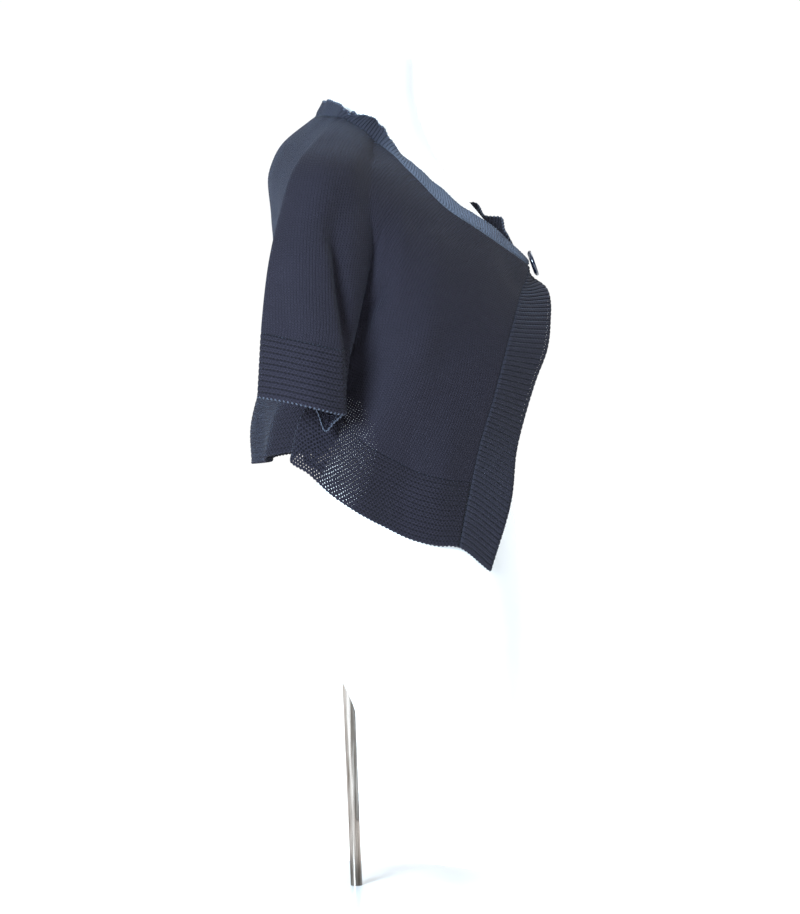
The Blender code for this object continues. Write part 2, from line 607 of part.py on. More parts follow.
def shrug():
    """Add every knitted piece.

    Returns the points and normals at the top of the right band, and the outer points
    of that band and the collar, which the button lies on.
    """
    yoke, body, sleeve, yoke_at, body_at = skin_grids()
    left_sleeve = mirrored(sleeve)[:, ::-1]
    lean, _ = collar_base(yoke, yoke_at)
    neck = np.stack((yoke[0] + lean / COLLAR_ROWS, yoke[0]))
    yoke_n, body_n, sleeve_n, left_n, neck_n = shared_normals(
        [yoke, body, sleeve, left_sleeve, neck])
    width, body_width = yoke.shape[1], body.shape[1]
    seam, arm, nape = yoke_at["band_seam"], yoke_at["raglan_front"], yoke_at["raglan_back"]
    body_seam, body_side = body_at["band_seam"], body_at["side"]

    def joined(upper, lower):
        return np.vstack((upper, lower[1:]))

    def panel(name, upper_cols, lower, lower_cols, lower_courses, normals_low):
        top = slice(*upper_cols)
        low = slice(*lower_cols)
        grid = joined(yoke[:, top], lower[:lower_courses + 1, low])
        normals = joined(yoke_n[:, top], normals_low[:lower_courses + 1, low])
        knit_wall(name, grid, normals)

    panel("right_front", (seam, arm + 1), body, (body_seam, body_side + 1),
          BODY_COURSES, body_n)
    panel("left_front", (width - arm - 1, width - seam), body,
          (body_width - body_side - 1, body_width - body_seam), BODY_COURSES, body_n)
    panel("back", (nape, width - nape), body, (body_side, body_width - body_side),
          BODY_COURSES, body_n)
    panel("right_sleeve", (arm, nape + 1), sleeve, (0, sleeve.shape[1]),
          SLEEVE_COURSES, sleeve_n)
    panel("left_sleeve", (width - nape - 1, width - arm), left_sleeve,
          (0, sleeve.shape[1]), SLEEVE_COURSES, left_n)

    def edge_band(name, grid, normals, start, ridge_count):
        rows = 2 * ridge_count
        part, part_n = grid[start:], normals[start:]
        kept = list(range(0, rows, INNER_STEP)) + [rows]
        knit_wall(name, part, part_n, ridges(*part.shape[:2]), kept)

    edge_band("right_cuff", sleeve, sleeve_n, SLEEVE_COURSES, CUFF_RIDGES)
    edge_band("left_cuff", left_sleeve, left_n, SLEEVE_COURSES, CUFF_RIDGES)
    for name, first, last in (("right_hem", body_seam, body_side),
                              ("back_hem", body_side, body_width - 1 - body_side),
                              ("left_hem", body_width - 1 - body_side,
                               body_width - 1 - body_seam)):
        edge_band(name, body[:, first:last + 1], body_n[:, first:last + 1], BODY_COURSES,
                  HEM_RIDGES)

    courses = UPPER_COURSES + BODY_COURSES
    right_cols, left_cols = slice(0, seam + 1), slice(width - seam - 1, width)
    left_low = slice(body_width - body_seam - 1, body_width)
    band_face = front_band("right_band", joined(yoke[:, right_cols], body[:, right_cols]),
                           joined(yoke_n[:, right_cols], body_n[:, right_cols]), courses)
    front_band("left_band", joined(yoke[:, left_cols], body[:, left_low]),
               joined(yoke_n[:, left_cols], body_n[:, left_low]), courses)
    collar_face = collar(yoke, neck_n[1], yoke_at)
    band = yoke[:3, right_cols].reshape(-1, 3)
    band_n = yoke_n[:3, right_cols].reshape(-1, 3)
    return band, band_n, np.vstack((band_face, collar_face))


# ---------------------------------------------------------------- button, form and stand
def turned(name, profile, sides, place, finish):
    """Add a solid turned about Z from (radius, height) points, set in place."""
    points, faces = [], []
    rings = []
    for radius, height in profile:
        if radius == 0.0:
            rings.append([len(points)])
            points.append(place @ Vector((0.0, 0.0, height * MM)))
            continue
        rings.append(list(range(len(points), len(points) + sides)))
        for side in range(sides):
            angle = 2.0 * math.pi * side / sides
            spot = Vector((radius * math.cos(angle), radius * math.sin(angle), height))
            points.append(place @ (spot * MM))
    for low, high in zip(rings[:-1], rings[1:]):
        for side in range(sides):
            after = (side + 1) % sides
            quad = [low[side % len(low)], low[after % len(low)],
                    high[after % len(high)], high[side % len(high)]]
            face = list(dict.fromkeys(quad))
            if len(face) > 2:
                faces.append(face)
    return new_object(name, closed_mesh(name, points, faces), finish)


def cutter(name, radius, low, high, place, sides):
    """Add a hidden round cutter from low to high along its own axis."""
    tool = turned(name, ((0.0, low), (radius, low), (radius, high), (0.0, high)), sides,
                  place, "polished_steel")
    tool.hide_render = True
    tool.display_type = "WIRE"
    return tool


def cut(piece, tool):
    """Take the cutter's shape out of a piece."""
    modifier = piece.modifiers.new(tool.name, "BOOLEAN")
    modifier.operation = "DIFFERENCE"
    modifier.solver = "EXACT"
    modifier.object = tool


def button(band, band_n, face):
    """Add the button, seated on the face of the right band and the collar's end."""
    up, out = BUTTON_SEAT
    target = to_space(CLOSURE[0], up, out)
    nearest = np.argsort(np.linalg.norm(band - target, axis=1))[:4]
    facing = unit(band_n[nearest].mean(axis=0))
    seat = target + facing * float(np.dot(band[nearest].mean(axis=0) - target, facing))
    under = face - seat
    height = under @ facing
    aside = np.linalg.norm(under - height[:, None] * facing, axis=1)
    near = (aside < BUTTON_BACK_RADIUS * MM) & (height < BUTTON_RADIUS * MM)
    reach = height[near].max()
    proud = reach + BUTTON_CLEARANCE * MM
    turn = Vector((0.0, 0.0, 1.0)).rotation_difference(Vector(facing)).to_matrix().to_4x4()
    place = Matrix.Translation(Vector(seat + facing * proud)) @ turn
    radius, top = BUTTON_RADIUS, BUTTON_THICKNESS
    inner = radius - BUTTON_RIM
    profile = ((0.0, 0.0), (BUTTON_BACK_RADIUS, 0.0), (radius - 0.4, 1.4), (radius, top * 0.6),
               (radius - 0.5, top - 0.3), (radius - 1.3, top), (inner, top - 0.4),
               (inner - 1.6, top - BUTTON_DISH), (inner * 0.5, top - BUTTON_DISH - 0.5),
               (0.0, top - BUTTON_DISH - 0.6))
    made = turned("button", profile, 24, place, "navy_button")
    for hole in range(4):
        angle = math.radians(45.0 + 90.0 * hole)
        shift = Vector((BUTTON_HOLE_CIRCLE * math.cos(angle),
                        BUTTON_HOLE_CIRCLE * math.sin(angle), 0.0)) * MM
        spot = place @ Matrix.Translation(shift)
        cut(made, cutter(f"button_hole_{hole}", BUTTON_HOLE_RADIUS, -2.0, top + 2.0, spot, 8))


def rod_place():
    """Return the rod's own frame: its foot on the base, its axis leaning back."""
    lean = Matrix.Rotation(-ROD_LEAN, 4, "X")
    return Matrix.Translation(Vector((0.0, 0.0, BASE_THICKNESS * MM))) @ lean


def form_ring(up):
    """Return one level outline of the form."""
    back, front, half, widest, full_front, full_back = [float(v) for v in section_at(up)]
    ring = []
    for side in range(FORM_SIDES):
        angle = 2.0 * math.pi * side / FORM_SIDES
        cos, sin = math.cos(angle), math.sin(angle)
        ahead = sin > 0.0
        full = full_front if ahead else full_back
        depth = (front - widest) if ahead else (widest - back)
        scale = (abs(cos)**full + abs(sin)**full)**(-1.0 / full)
        out = half * cos * scale
        forward = widest + depth * sin * scale
        ring.append(to_space(forward, up, out))
    return ring


def form_levels():
    """Return the heights of the form's rings, closer where it turns quickly."""
    levels = []
    for upper, lower in zip(FORM_SECTIONS[:-1], FORM_SECTIONS[1:]):
        drop, widening = upper[0] - lower[0], lower[3] - upper[3]
        parts = max(1, round(math.hypot(drop, widening) / FORM_RING_PITCH))
        levels += [upper[0] - drop * part / parts for part in range(parts)]
    return levels + [FORM_SECTIONS[-1][0]]


def dress_form():
    """Add the dress form, bored from below for its rod."""
    rings = [form_ring(up) for up in form_levels()]
    points = [point for ring in rings for point in ring]
    faces = [tuple(range(FORM_SIDES))]
    for level in range(len(rings) - 1):
        for side in range(FORM_SIDES):
            after = (side + 1) % FORM_SIDES
            top, low = level * FORM_SIDES, (level + 1) * FORM_SIDES
            faces.append((top + side, top + after, low + after, low + side))
    bottom = (len(rings) - 1) * FORM_SIDES
    faces.append(tuple(range(bottom, bottom + FORM_SIDES)))
    made = new_object("form", closed_mesh("form", points, faces), "white_form")
    below = FORM_SECTIONS[-1][0] - 2.0 * BASE_THICKNESS
    cut(made, cutter("rod_bore", ROD_RADIUS + ROD_CLEARANCE, below,
                     ROD_TOP + ROD_CLEARANCE, rod_place(), ROD_SIDES))


def stand():
    """Add the rod and the round base that it is set into."""
    place = rod_place()
    foot = -(BASE_THICKNESS - ROD_FOOT)
    turned("pole", ((0.0, foot), (ROD_RADIUS - 0.5, foot), (ROD_RADIUS, foot + 0.5),
                    (ROD_RADIUS, ROD_TOP - 0.8), (ROD_RADIUS - 0.8, ROD_TOP),
                    (0.0, ROD_TOP)), ROD_SIDES, place, "polished_steel")
    edge = BASE_EDGE
    base = turned("base", ((0.0, 0.0), (BASE_RADIUS - 0.5, 0.0), (BASE_RADIUS, 0.5),
                           (BASE_RADIUS, BASE_THICKNESS - edge),
                           (BASE_RADIUS - 0.3 * edge, BASE_THICKNESS - 0.3 * edge),
                           (BASE_RADIUS - edge, BASE_THICKNESS), (0.0, BASE_THICKNESS)),
                  BASE_SIDES, Matrix.Identity(4), "white_enamel")
    cut(base, cutter("rod_socket", ROD_RADIUS + ROD_CLEARANCE, foot - ROD_CLEARANCE,
                     2.0 * BASE_THICKNESS, place, ROD_SIDES))


def main():
    """Clear the scene and model the shrug, the form and the stand."""
    for old in list(bpy.data.objects):
        bpy.data.objects.remove(old, do_unlink=True)
    button(*shrug())
    dress_form()
    stand()


main()
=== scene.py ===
"""Short navy knitted shrug on a limbless dress form: its looks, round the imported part.

The cloth is one skin of knit, like the part's: wales run down from the neckline and
courses run round. Here the skin is fine enough for soft creases, the garter pieces have
their real ridges and bound-off edges, and the stitches are drawn by the finishes.

Axes: the floor is z = 0, the rod's foot is at x = y = 0, the front is -Y and the wearer's
right is -X. Tables are in millimetres as (forward, up, out): forward of the rod's foot,
above the floor, and out from the middle to the wearer's right.
"""
from __future__ import annotations

import logging
import math
from dataclasses import dataclass
from enum import Enum
from typing import Dict, Iterable, List, Optional, Sequence, Tuple, Union

import bpy
import numpy as np
from mathutils import Matrix, Vector

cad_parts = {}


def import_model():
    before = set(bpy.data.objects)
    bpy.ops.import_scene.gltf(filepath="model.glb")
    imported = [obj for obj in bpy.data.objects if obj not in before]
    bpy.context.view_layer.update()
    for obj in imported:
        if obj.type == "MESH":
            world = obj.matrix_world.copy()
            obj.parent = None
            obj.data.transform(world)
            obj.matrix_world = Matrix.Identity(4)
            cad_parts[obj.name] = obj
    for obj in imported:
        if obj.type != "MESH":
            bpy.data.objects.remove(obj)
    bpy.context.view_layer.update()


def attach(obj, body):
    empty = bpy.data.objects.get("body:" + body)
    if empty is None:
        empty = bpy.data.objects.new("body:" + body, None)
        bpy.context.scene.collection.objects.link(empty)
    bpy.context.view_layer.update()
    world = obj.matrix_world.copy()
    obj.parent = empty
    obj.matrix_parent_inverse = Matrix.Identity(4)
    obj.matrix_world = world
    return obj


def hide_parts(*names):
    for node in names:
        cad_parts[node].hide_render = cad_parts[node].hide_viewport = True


MM = 0.001
LOG = logging.getLogger("shrug")

Point = Tuple[float, float, float]
Colour = Tuple[float, float, float, float]


# ---------------------------------------------------------------- tables of the form
# up, back, front, half width, place of the widest line, front and back fullness
FORM_SECTIONS = (
    (876.0, -16.0, 60.0, 48.0, 22.0, 2.1, 2.1),
    (834.0, -30.0, 62.0, 50.0, 17.0, 2.0, 2.1),
    (815.0, -37.0, 66.0, 54.0, 13.0, 1.9, 2.0),
    (797.0, -50.0, 73.0, 70.0, 4.0, 1.55, 1.7),
    (782.0, -66.0, 80.0, 97.0, -6.0, 1.35, 1.6),
    (766.0, -78.0, 88.0, 130.0, -12.0, 1.28, 1.6),
    (747.0, -82.0, 100.0, 160.0, -12.0, 1.33, 1.9),
    (724.0, -80.0, 121.0, 170.0, -10.0, 1.42, 2.1),
    (698.0, -73.0, 142.0, 169.0, -4.0, 1.55, 2.2),
    (661.0, -57.0, 166.0, 158.0, 6.0, 1.8, 2.2),
    (619.0, -40.0, 179.0, 144.0, 24.0, 2.0, 2.2),
    (577.0, -22.0, 177.0, 130.0, 45.0, 2.0, 2.2),
    (519.0, -10.0, 161.0, 116.0, 66.0, 2.0, 2.2),
    (467.0, -25.0, 160.0, 128.0, 64.0, 2.0, 2.2),
    (393.0, -59.0, 166.0, 152.0, 52.0, 2.0, 2.2),
    (330.0, -67.0, 173.0, 161.0, 46.0, 2.1, 2.2),
    (278.0, -54.0, 177.0, 163.0, 54.0, 2.3, 2.3),
    (234.0, -19.0, 178.0, 162.0, 70.0, 2.4, 2.5),
    (204.0, -4.0, 178.0, 160.0, 80.0, 2.4, 2.6),
    (141.0, 8.0, 172.0, 156.0, 86.0, 2.4, 2.6),
    (88.0, 15.0, 163.0, 150.0, 88.0, 2.4, 2.6),
    (78.0, 19.0, 159.0, 146.0, 88.0, 2.4, 2.6),
    (75.0, 26.0, 152.0, 139.0, 88.0, 2.4, 2.6),
)

# ---------------------------------------------------------------- wales of the right half
# name: points from the neckline to bust height, then from there to the hem or cuff
WALES: Dict[str, Tuple[Tuple[Point, ...], Tuple[Point, ...]]] = {
    "edge": (((170, 663, -13), (178, 646, 2), (193, 633, 15), (200, 615, 31), (200, 594, 46),
              (196, 569, 58)),
             ((184, 538, 68), (170, 493, 80), (163, 464, 90), (157, 414, 106), (136, 345, 121))),
    "band_seam": (((173, 656, 24), (171, 638, 46), (166, 618, 74), (153, 571, 104)),
                  ((138, 515, 118), (126, 476, 126), (112, 412, 140), (104, 370, 149))),
    "front_1": (((150, 675, 58), (144, 647, 88), (135, 611, 115), (125, 575, 128)),
                ((111, 516, 138), (92, 437, 152), (81, 372, 158))),
    "front_2": (((121, 692, 88), (113, 654, 120), (104, 615, 142), (95, 579, 150)),
                ((82, 516, 155), (64, 445, 163), (55, 379, 165))),
    "front_3": (((91, 711, 100), (85, 667, 140), (78, 622, 160), (71, 581, 166)),
                ((57, 517, 168), (40, 455, 170), (30, 391, 170))),
    "front_4": (((64, 738, 102), (62, 686, 145), (57, 631, 166), (51, 583, 169)),
                ((37, 522, 172), (14, 469, 177), (4, 405, 178))),
    "front_5": (((50, 752, 100), (50, 699, 148), (44, 639, 167), (37, 586, 167)),
                ((20, 530, 166), (-3, 478, 171), (-21, 422, 178))),
    "front_6": (((40, 763, 98), (40, 709, 150), (32, 645, 165), (23, 590, 161)),
                ((3, 540, 156), (-20, 497, 160), (-44, 443, 172))),
    "side_fold": (((29, 772, 95), (30, 717, 153), (25, 651, 163), (15, 593, 157)),
                  ((-2, 560, 155), (-30, 528, 152), (-53, 495, 154), (-62, 456, 160))),
    "raglan_front": (((18, 780, 92), (20, 751, 128), (21, 718, 153), (19, 658, 160),
                      (2, 590, 158)), ()),
    "side": ((), ((2, 590, 158), (-5, 552, 146), (-12, 516, 136), (-17, 478, 132))),
    "fold_ridge": (((13, 786, 91), (16, 757, 133), (16, 727, 160), (14, 662, 172),
                    (5, 595, 178)), ((-3, 562, 182), (-19, 492, 188))),
    "fold_face": (((7, 791, 90), (9, 763, 139), (7, 731, 171), (-1, 666, 190),
                   (-1, 595, 190)), ((-4, 564, 190), (-10, 500, 194))),
    "fold_valley": (((1, 795, 88), (2, 766, 143), (-3, 738, 181), (-20, 670, 198),
                     (-14, 594, 197)), ((-10, 563, 201), (-7, 503, 202))),
    "sleeve_front": (((-4, 798, 87), (-6, 769, 146), (-15, 739, 188), (-30, 684, 208),
                      (-24, 647, 212), (-15, 591, 216)), ((-11, 566, 217), (-9, 500, 212))),
    "sleeve_1": (((-8, 801, 85), (-16, 771, 148), (-27, 741, 191), (-45, 683, 211),
                  (-47, 647, 218), (-39, 591, 224)), ((-36, 566, 227), (-33, 505, 228))),
    "sleeve_2": (((-11, 803, 84), (-27, 772, 147), (-44, 741, 187), (-61, 687, 204),
                  (-66, 647, 215), (-67, 589, 222)), ((-66, 570, 225), (-63, 512, 226))),
    "sleeve_rear": (((-13, 803, 83), (-37, 772, 143), (-58, 740, 177), (-71, 695, 190),
                     (-81, 645, 204), (-87, 590, 209)), ((-88, 572, 211), (-91, 517, 210))),
    "sleeve_inside": (((-15, 804, 81), (-41, 771, 138), (-62, 734, 166), (-68, 689, 176),
                       (-67, 647, 184), (-59, 591, 188)), ((-53, 568, 188), (-40, 510, 188))),
    "raglan_back": (((-18, 805, 79), (-44, 769, 132), (-63, 728, 158), (-62, 688, 165),
                     (-43, 638, 166), (2, 590, 158)), ()),
    "underarm": ((), ((2, 590, 158), (-7, 557, 172), (-27, 484, 186))),
    "back_1": (((-24, 807, 66), (-53, 771, 108), (-70, 731, 130), (-72, 690, 136),
                (-62, 640, 138), (-32, 591, 140)),
               ((-36, 546, 126), (-47, 507, 118), (-53, 467, 116))),
    "back_2": (((-32, 810, 50), (-63, 774, 82), (-76, 736, 102), (-76, 696, 106),
                (-71, 643, 108), (-59, 592, 108)),
               ((-66, 537, 98), (-82, 497, 94), (-90, 460, 92))),
    "back_3": (((-39, 812, 28), (-75, 777, 48), (-85, 743, 62), (-84, 702, 64),
                (-81, 646, 64), (-80, 595, 64)),
               ((-86, 538, 58), (-92, 497, 54), (-93, 455, 52))),
    "centre_back": (((-44, 815, 0), (-80, 783, 0), (-91, 750, 0), (-88, 710, 0),
                     (-88, 650, 0), (-93, 598, 0)),
                    ((-99, 540, 0), (-110, 490, 0), (-109, 453, 0))),
}
YOKE_ORDER = ("edge", "band_seam", "front_1", "front_2", "front_3", "front_4", "front_5",
              "front_6", "side_fold", "raglan_front", "fold_ridge", "fold_face",
              "fold_valley", "sleeve_front", "sleeve_1", "sleeve_2", "sleeve_rear",
              "sleeve_inside", "raglan_back", "back_1", "back_2", "back_3", "centre_back")
BODY_ORDER = ("edge", "band_seam", "front_1", "front_2", "front_3", "front_4", "front_5",
              "front_6", "side_fold", "side", "back_1", "back_2", "back_3", "centre_back")
SLEEVE_ORDER = ("underarm", "fold_ridge", "fold_face", "fold_valley", "sleeve_front",
                "sleeve_1", "sleeve_2", "sleeve_rear", "sleeve_inside", "underarm")

# free edge of the neck band from its seam: wale, forward, up, out, and how far the ridges
# slant towards the closure
COLLAR_LEAN = (
    ("edge", -2.0, 5.0, -1.0, 0.0),
    ("band_seam", 0.0, 7.0, -7.0, -4.0),
    ("front_1", 7.0, 9.0, -14.0, -12.0),
    ("front_2", 9.0, 11.0, -15.0, -16.0),
    ("front_3", 8.0, 12.0, -13.0, -15.0),
    ("front_4", 8.0, 12.0, -11.0, -11.0),
    ("front_5", 7.5, 12.5, -9.5, -6.0),
    ("side_fold", 7.0, 13.0, -8.0, 1.0),
    ("sleeve_front", 7.0, 15.0, -3.0, 7.0),
    ("raglan_back", 4.0, 16.0, 0.0, 7.0),
    ("back_2", 8.0, 16.5, 1.0, 3.0),
    ("centre_back", 10.5, 17.5, 0.0, 0.0),
)
# folds of the ruffle on each side, placed one by one from the nape: how far along the
# neckline, how far the free edge rises there and how far it sways out
RIGHT_RUFFLE = (
    (0, -0.5, 1.0), (22, 0.0, -2.0), (46, -1.0, 3.0), (64, -2.0, -0.5), (76, -3.5, 0.5),
    (91, -9.5, 1.5), (106, -1.0, -1.0), (121, 4.0, -3.0), (134, 3.0, 1.0), (143, -6.0, 4.0),
    (163, -10.0, -1.0), (185, -8.0, 1.5), (212, -4.5, -1.0), (238, -1.0, 1.0),
    (262, -2.0, -0.5), (300, 0.0, 0.5), (340, -1.0, 0.0), (402, 0.0, 0.0),
)
LEFT_RUFFLE = (
    (0, -0.5, 1.0), (20, -0.5, -2.0), (43, 1.0, 3.0), (66, -2.0, -3.0), (90, -6.0, 4.5),
    (112, -2.0, -3.0), (132, 2.0, 2.0), (152, -3.0, 4.0), (176, 1.0, -3.0),
    (200, -2.0, 3.0), (224, 4.0, -3.0), (246, 10.0, 3.0), (262, 19.0, -1.0),
    (280, 28.0, 4.0), (298, 24.0, -3.0), (318, 27.0, 4.0), (334, 21.0, -2.0),
    (350, 8.0, 2.0), (370, 1.0, 0.0), (402, 0.0, 0.0),
)


@dataclass(frozen=True)
class Crease:
    """A soft ridge (height > 0) or trough (height < 0) that runs along a few points."""

    points: Tuple[Point, ...]
    width: float
    height: float


# uneven creases, placed one by one; out < 0 is the wearer's left
CREASES = (
    Crease(((-50, 684, 211), (-12, 694, 206), (12, 704, 176)), 10, -1.6),
    Crease(((-66, 648, 214), (-30, 652, 214), (-8, 640, 206)), 11, 1.2),
    Crease(((38, 634, 165), (26, 618, 163), (12, 604, 158)), 6.5, -3.6),
    Crease(((46, 618, 166), (30, 600, 163), (16, 580, 160)), 7, 1.6),
    Crease(((-46, 640, 217), (-38, 590, 224), (-34, 520, 227)), 13, 1.5),
    Crease(((-68, 628, 218), (-64, 575, 224), (-62, 520, 226)), 9, -1.4),
    Crease(((118, 592, 125), (86, 588, 155), (58, 578, 168)), 12, 1.4),
    Crease(((104, 560, 143), (74, 548, 162), (44, 528, 171)), 12, -1.6),
    Crease(((96, 488, 146), (86, 430, 156), (82, 380, 158)), 14, 1.6),
    Crease(((60, 500, 164), (52, 440, 166), (46, 388, 167)), 12, -2.0),
    Crease(((22, 490, 172), (10, 440, 177), (-4, 412, 177)), 13, 1.8),
    Crease(((-8, 520, 163), (-24, 480, 165), (-36, 446, 171)), 9, -1.6),
    Crease(((150, 640, 75), (126, 640, 105), (96, 640, 138)), 16, 1.0),
    Crease(((-84, 566, 92), (-90, 510, 84), (-96, 462, 78)), 13, -2.6),
    Crease(((-93, 610, 34), (-102, 540, 28), (-108, 470, 24)), 15, 2.0),
    Crease(((-90, 690, 66), (-92, 684, 6), (-88, 678, -52)), 13, -1.6),
    Crease(((-86, 742, 96), (-94, 752, 40), (-94, 756, -20)), 12, 1.2),
    Crease(((-84, 660, 100), (-76, 630, 122), (-56, 606, 138)), 11, -2.0),
    Crease(((-92, 560, -70), (-98, 510, -60), (-104, 464, -58)), 13, -2.4),
    Crease(((-98, 600, -20), (-106, 540, -14), (-112, 476, -18)), 14, 1.8),
    Crease(((-80, 664, -110), (-70, 640, -128), (-48, 612, -142)), 12, -1.8),
    Crease(((-54, 690, -210), (-16, 700, -204), (10, 706, -178)), 11, -1.4),
    Crease(((-60, 650, -215), (-34, 642, -216), (-12, 636, -209)), 12, 1.3),
    Crease(((34, 640, -166), (24, 622, -164), (10, 606, -158)), 7, -3.2),
    Crease(((-40, 636, -219), (-34, 580, -226), (-30, 516, -228)), 12, 1.4),
    Crease(((-74, 630, -216), (-72, 580, -222), (-70, 524, -224)), 10, -1.5),
    Crease(((112, 600, -130), (84, 592, -157), (54, 586, -169)), 13, 1.3),
    Crease(((100, 548, -146), (70, 534, -164), (42, 516, -171)), 12, -1.8),
    Crease(((88, 480, -150), (80, 430, -158), (76, 384, -160)), 13, 1.5),
    Crease(((52, 490, -166), (46, 436, -168), (38, 392, -169)), 12, -1.8),
    Crease(((14, 500, -172), (4, 446, -177), (-10, 416, -178)), 13, 1.7),
)


class Stitch(Enum):
    """The two fabrics of the shrug."""

    STOCKINETTE = "stockinette"
    GARTER = "garter"


# ---------------------------------------------------------------- curves
def to_space(forward: float, up: float, out: float) -> np.ndarray:
    """Return the point in metres of a table entry."""
    return np.array((-out, -forward, up), dtype=float) * MM


def unit(vectors: np.ndarray) -> np.ndarray:
    """Return vectors of length one."""
    return vectors / np.maximum(np.linalg.norm(vectors, axis=-1, keepdims=True), 1e-12)


def smooth(share: np.ndarray) -> np.ndarray:
    """Return a share from 0 to 1 with soft ends."""
    share = np.clip(share, 0.0, 1.0)
    return share * share * (3.0 - 2.0 * share)


def eased(places: np.ndarray, keys: Sequence[Sequence[float]], column: int) -> np.ndarray:
    """Return a column of a table of keys at places, with soft steps between the keys."""
    table = np.array(keys, dtype=float)
    at = np.clip(np.searchsorted(table[:, 0], places, side="right") - 1, 0, len(table) - 2)
    share = smooth((places - table[at, 0]) / (table[at + 1, 0] - table[at, 0]))
    return table[at, column] * (1.0 - share) + table[at + 1, column] * share


def knots(points: np.ndarray) -> np.ndarray:
    """Return centripetal knot values of a run of points."""
    steps = np.sqrt(np.maximum(np.linalg.norm(np.diff(points, axis=0), axis=1), 1e-7))
    return np.concatenate(([0.0], np.cumsum(steps)))


def span_points(four: np.ndarray, shares: np.ndarray) -> np.ndarray:
    """Return points on a Catmull-Rom span between the second and third of four."""
    t = knots(four)
    at = (t[1] + (t[2] - t[1]) * np.asarray(shares))[:, None]
    a1 = ((t[1] - at) * four[0] + (at - t[0]) * four[1]) / (t[1] - t[0])
    a2 = ((t[2] - at) * four[1] + (at - t[1]) * four[2]) / (t[2] - t[1])
    a3 = ((t[3] - at) * four[2] + (at - t[2]) * four[3]) / (t[3] - t[2])
    b1 = ((t[2] - at) * a1 + (at - t[0]) * a2) / (t[2] - t[0])
    b2 = ((t[3] - at) * a2 + (at - t[1]) * a3) / (t[3] - t[1])
    return ((t[2] - at) * b1 + (at - t[1]) * b2) / (t[2] - t[1])


def curve_through(points: Sequence, steps: Sequence[int], closed: bool = False) -> np.ndarray:
    """Return a smooth run through points, with steps[i] intervals in span i."""
    points = np.asarray(points, dtype=float)
    if closed:
        padded = np.vstack((points[-2], points, points[1]))
    else:
        first = 2.0 * points[0] - points[1]
        last = 2.0 * points[-1] - points[-2]
        padded = np.vstack((first, points, last))
    run = [points[:1]]
    for span, count in enumerate(steps):
        shares = np.arange(1, count + 1) / count
        run.append(span_points(padded[span:span + 4], shares))
    return np.vstack(run)


def lengths_along(run: np.ndarray) -> np.ndarray:
    """Return the distance along a run at each of its points."""
    return np.concatenate(([0.0], np.cumsum(np.linalg.norm(np.diff(run, axis=0), axis=1))))


def points_at(run: np.ndarray, distances: np.ndarray) -> np.ndarray:
    """Return the points of a run at given distances along it."""
    along = lengths_along(run)
    return np.column_stack([np.interp(distances, along, run[:, k])
                            for k in range(run.shape[1])])


def rows_between(grid: np.ndarray, places: np.ndarray) -> np.ndarray:
    """Return the rows of a grid at fractional row numbers."""
    low = np.clip(np.floor(places).astype(int), 0, len(grid) - 2)
    share = (places - low).reshape((-1,) + (1,) * (grid.ndim - 1))
    return grid[low] * (1.0 - share) + grid[low + 1] * share


def mirrored(points: np.ndarray) -> np.ndarray:
    """Return points of the wearer's left from those of the right."""
    return points * np.array((-1.0, 1.0, 1.0))


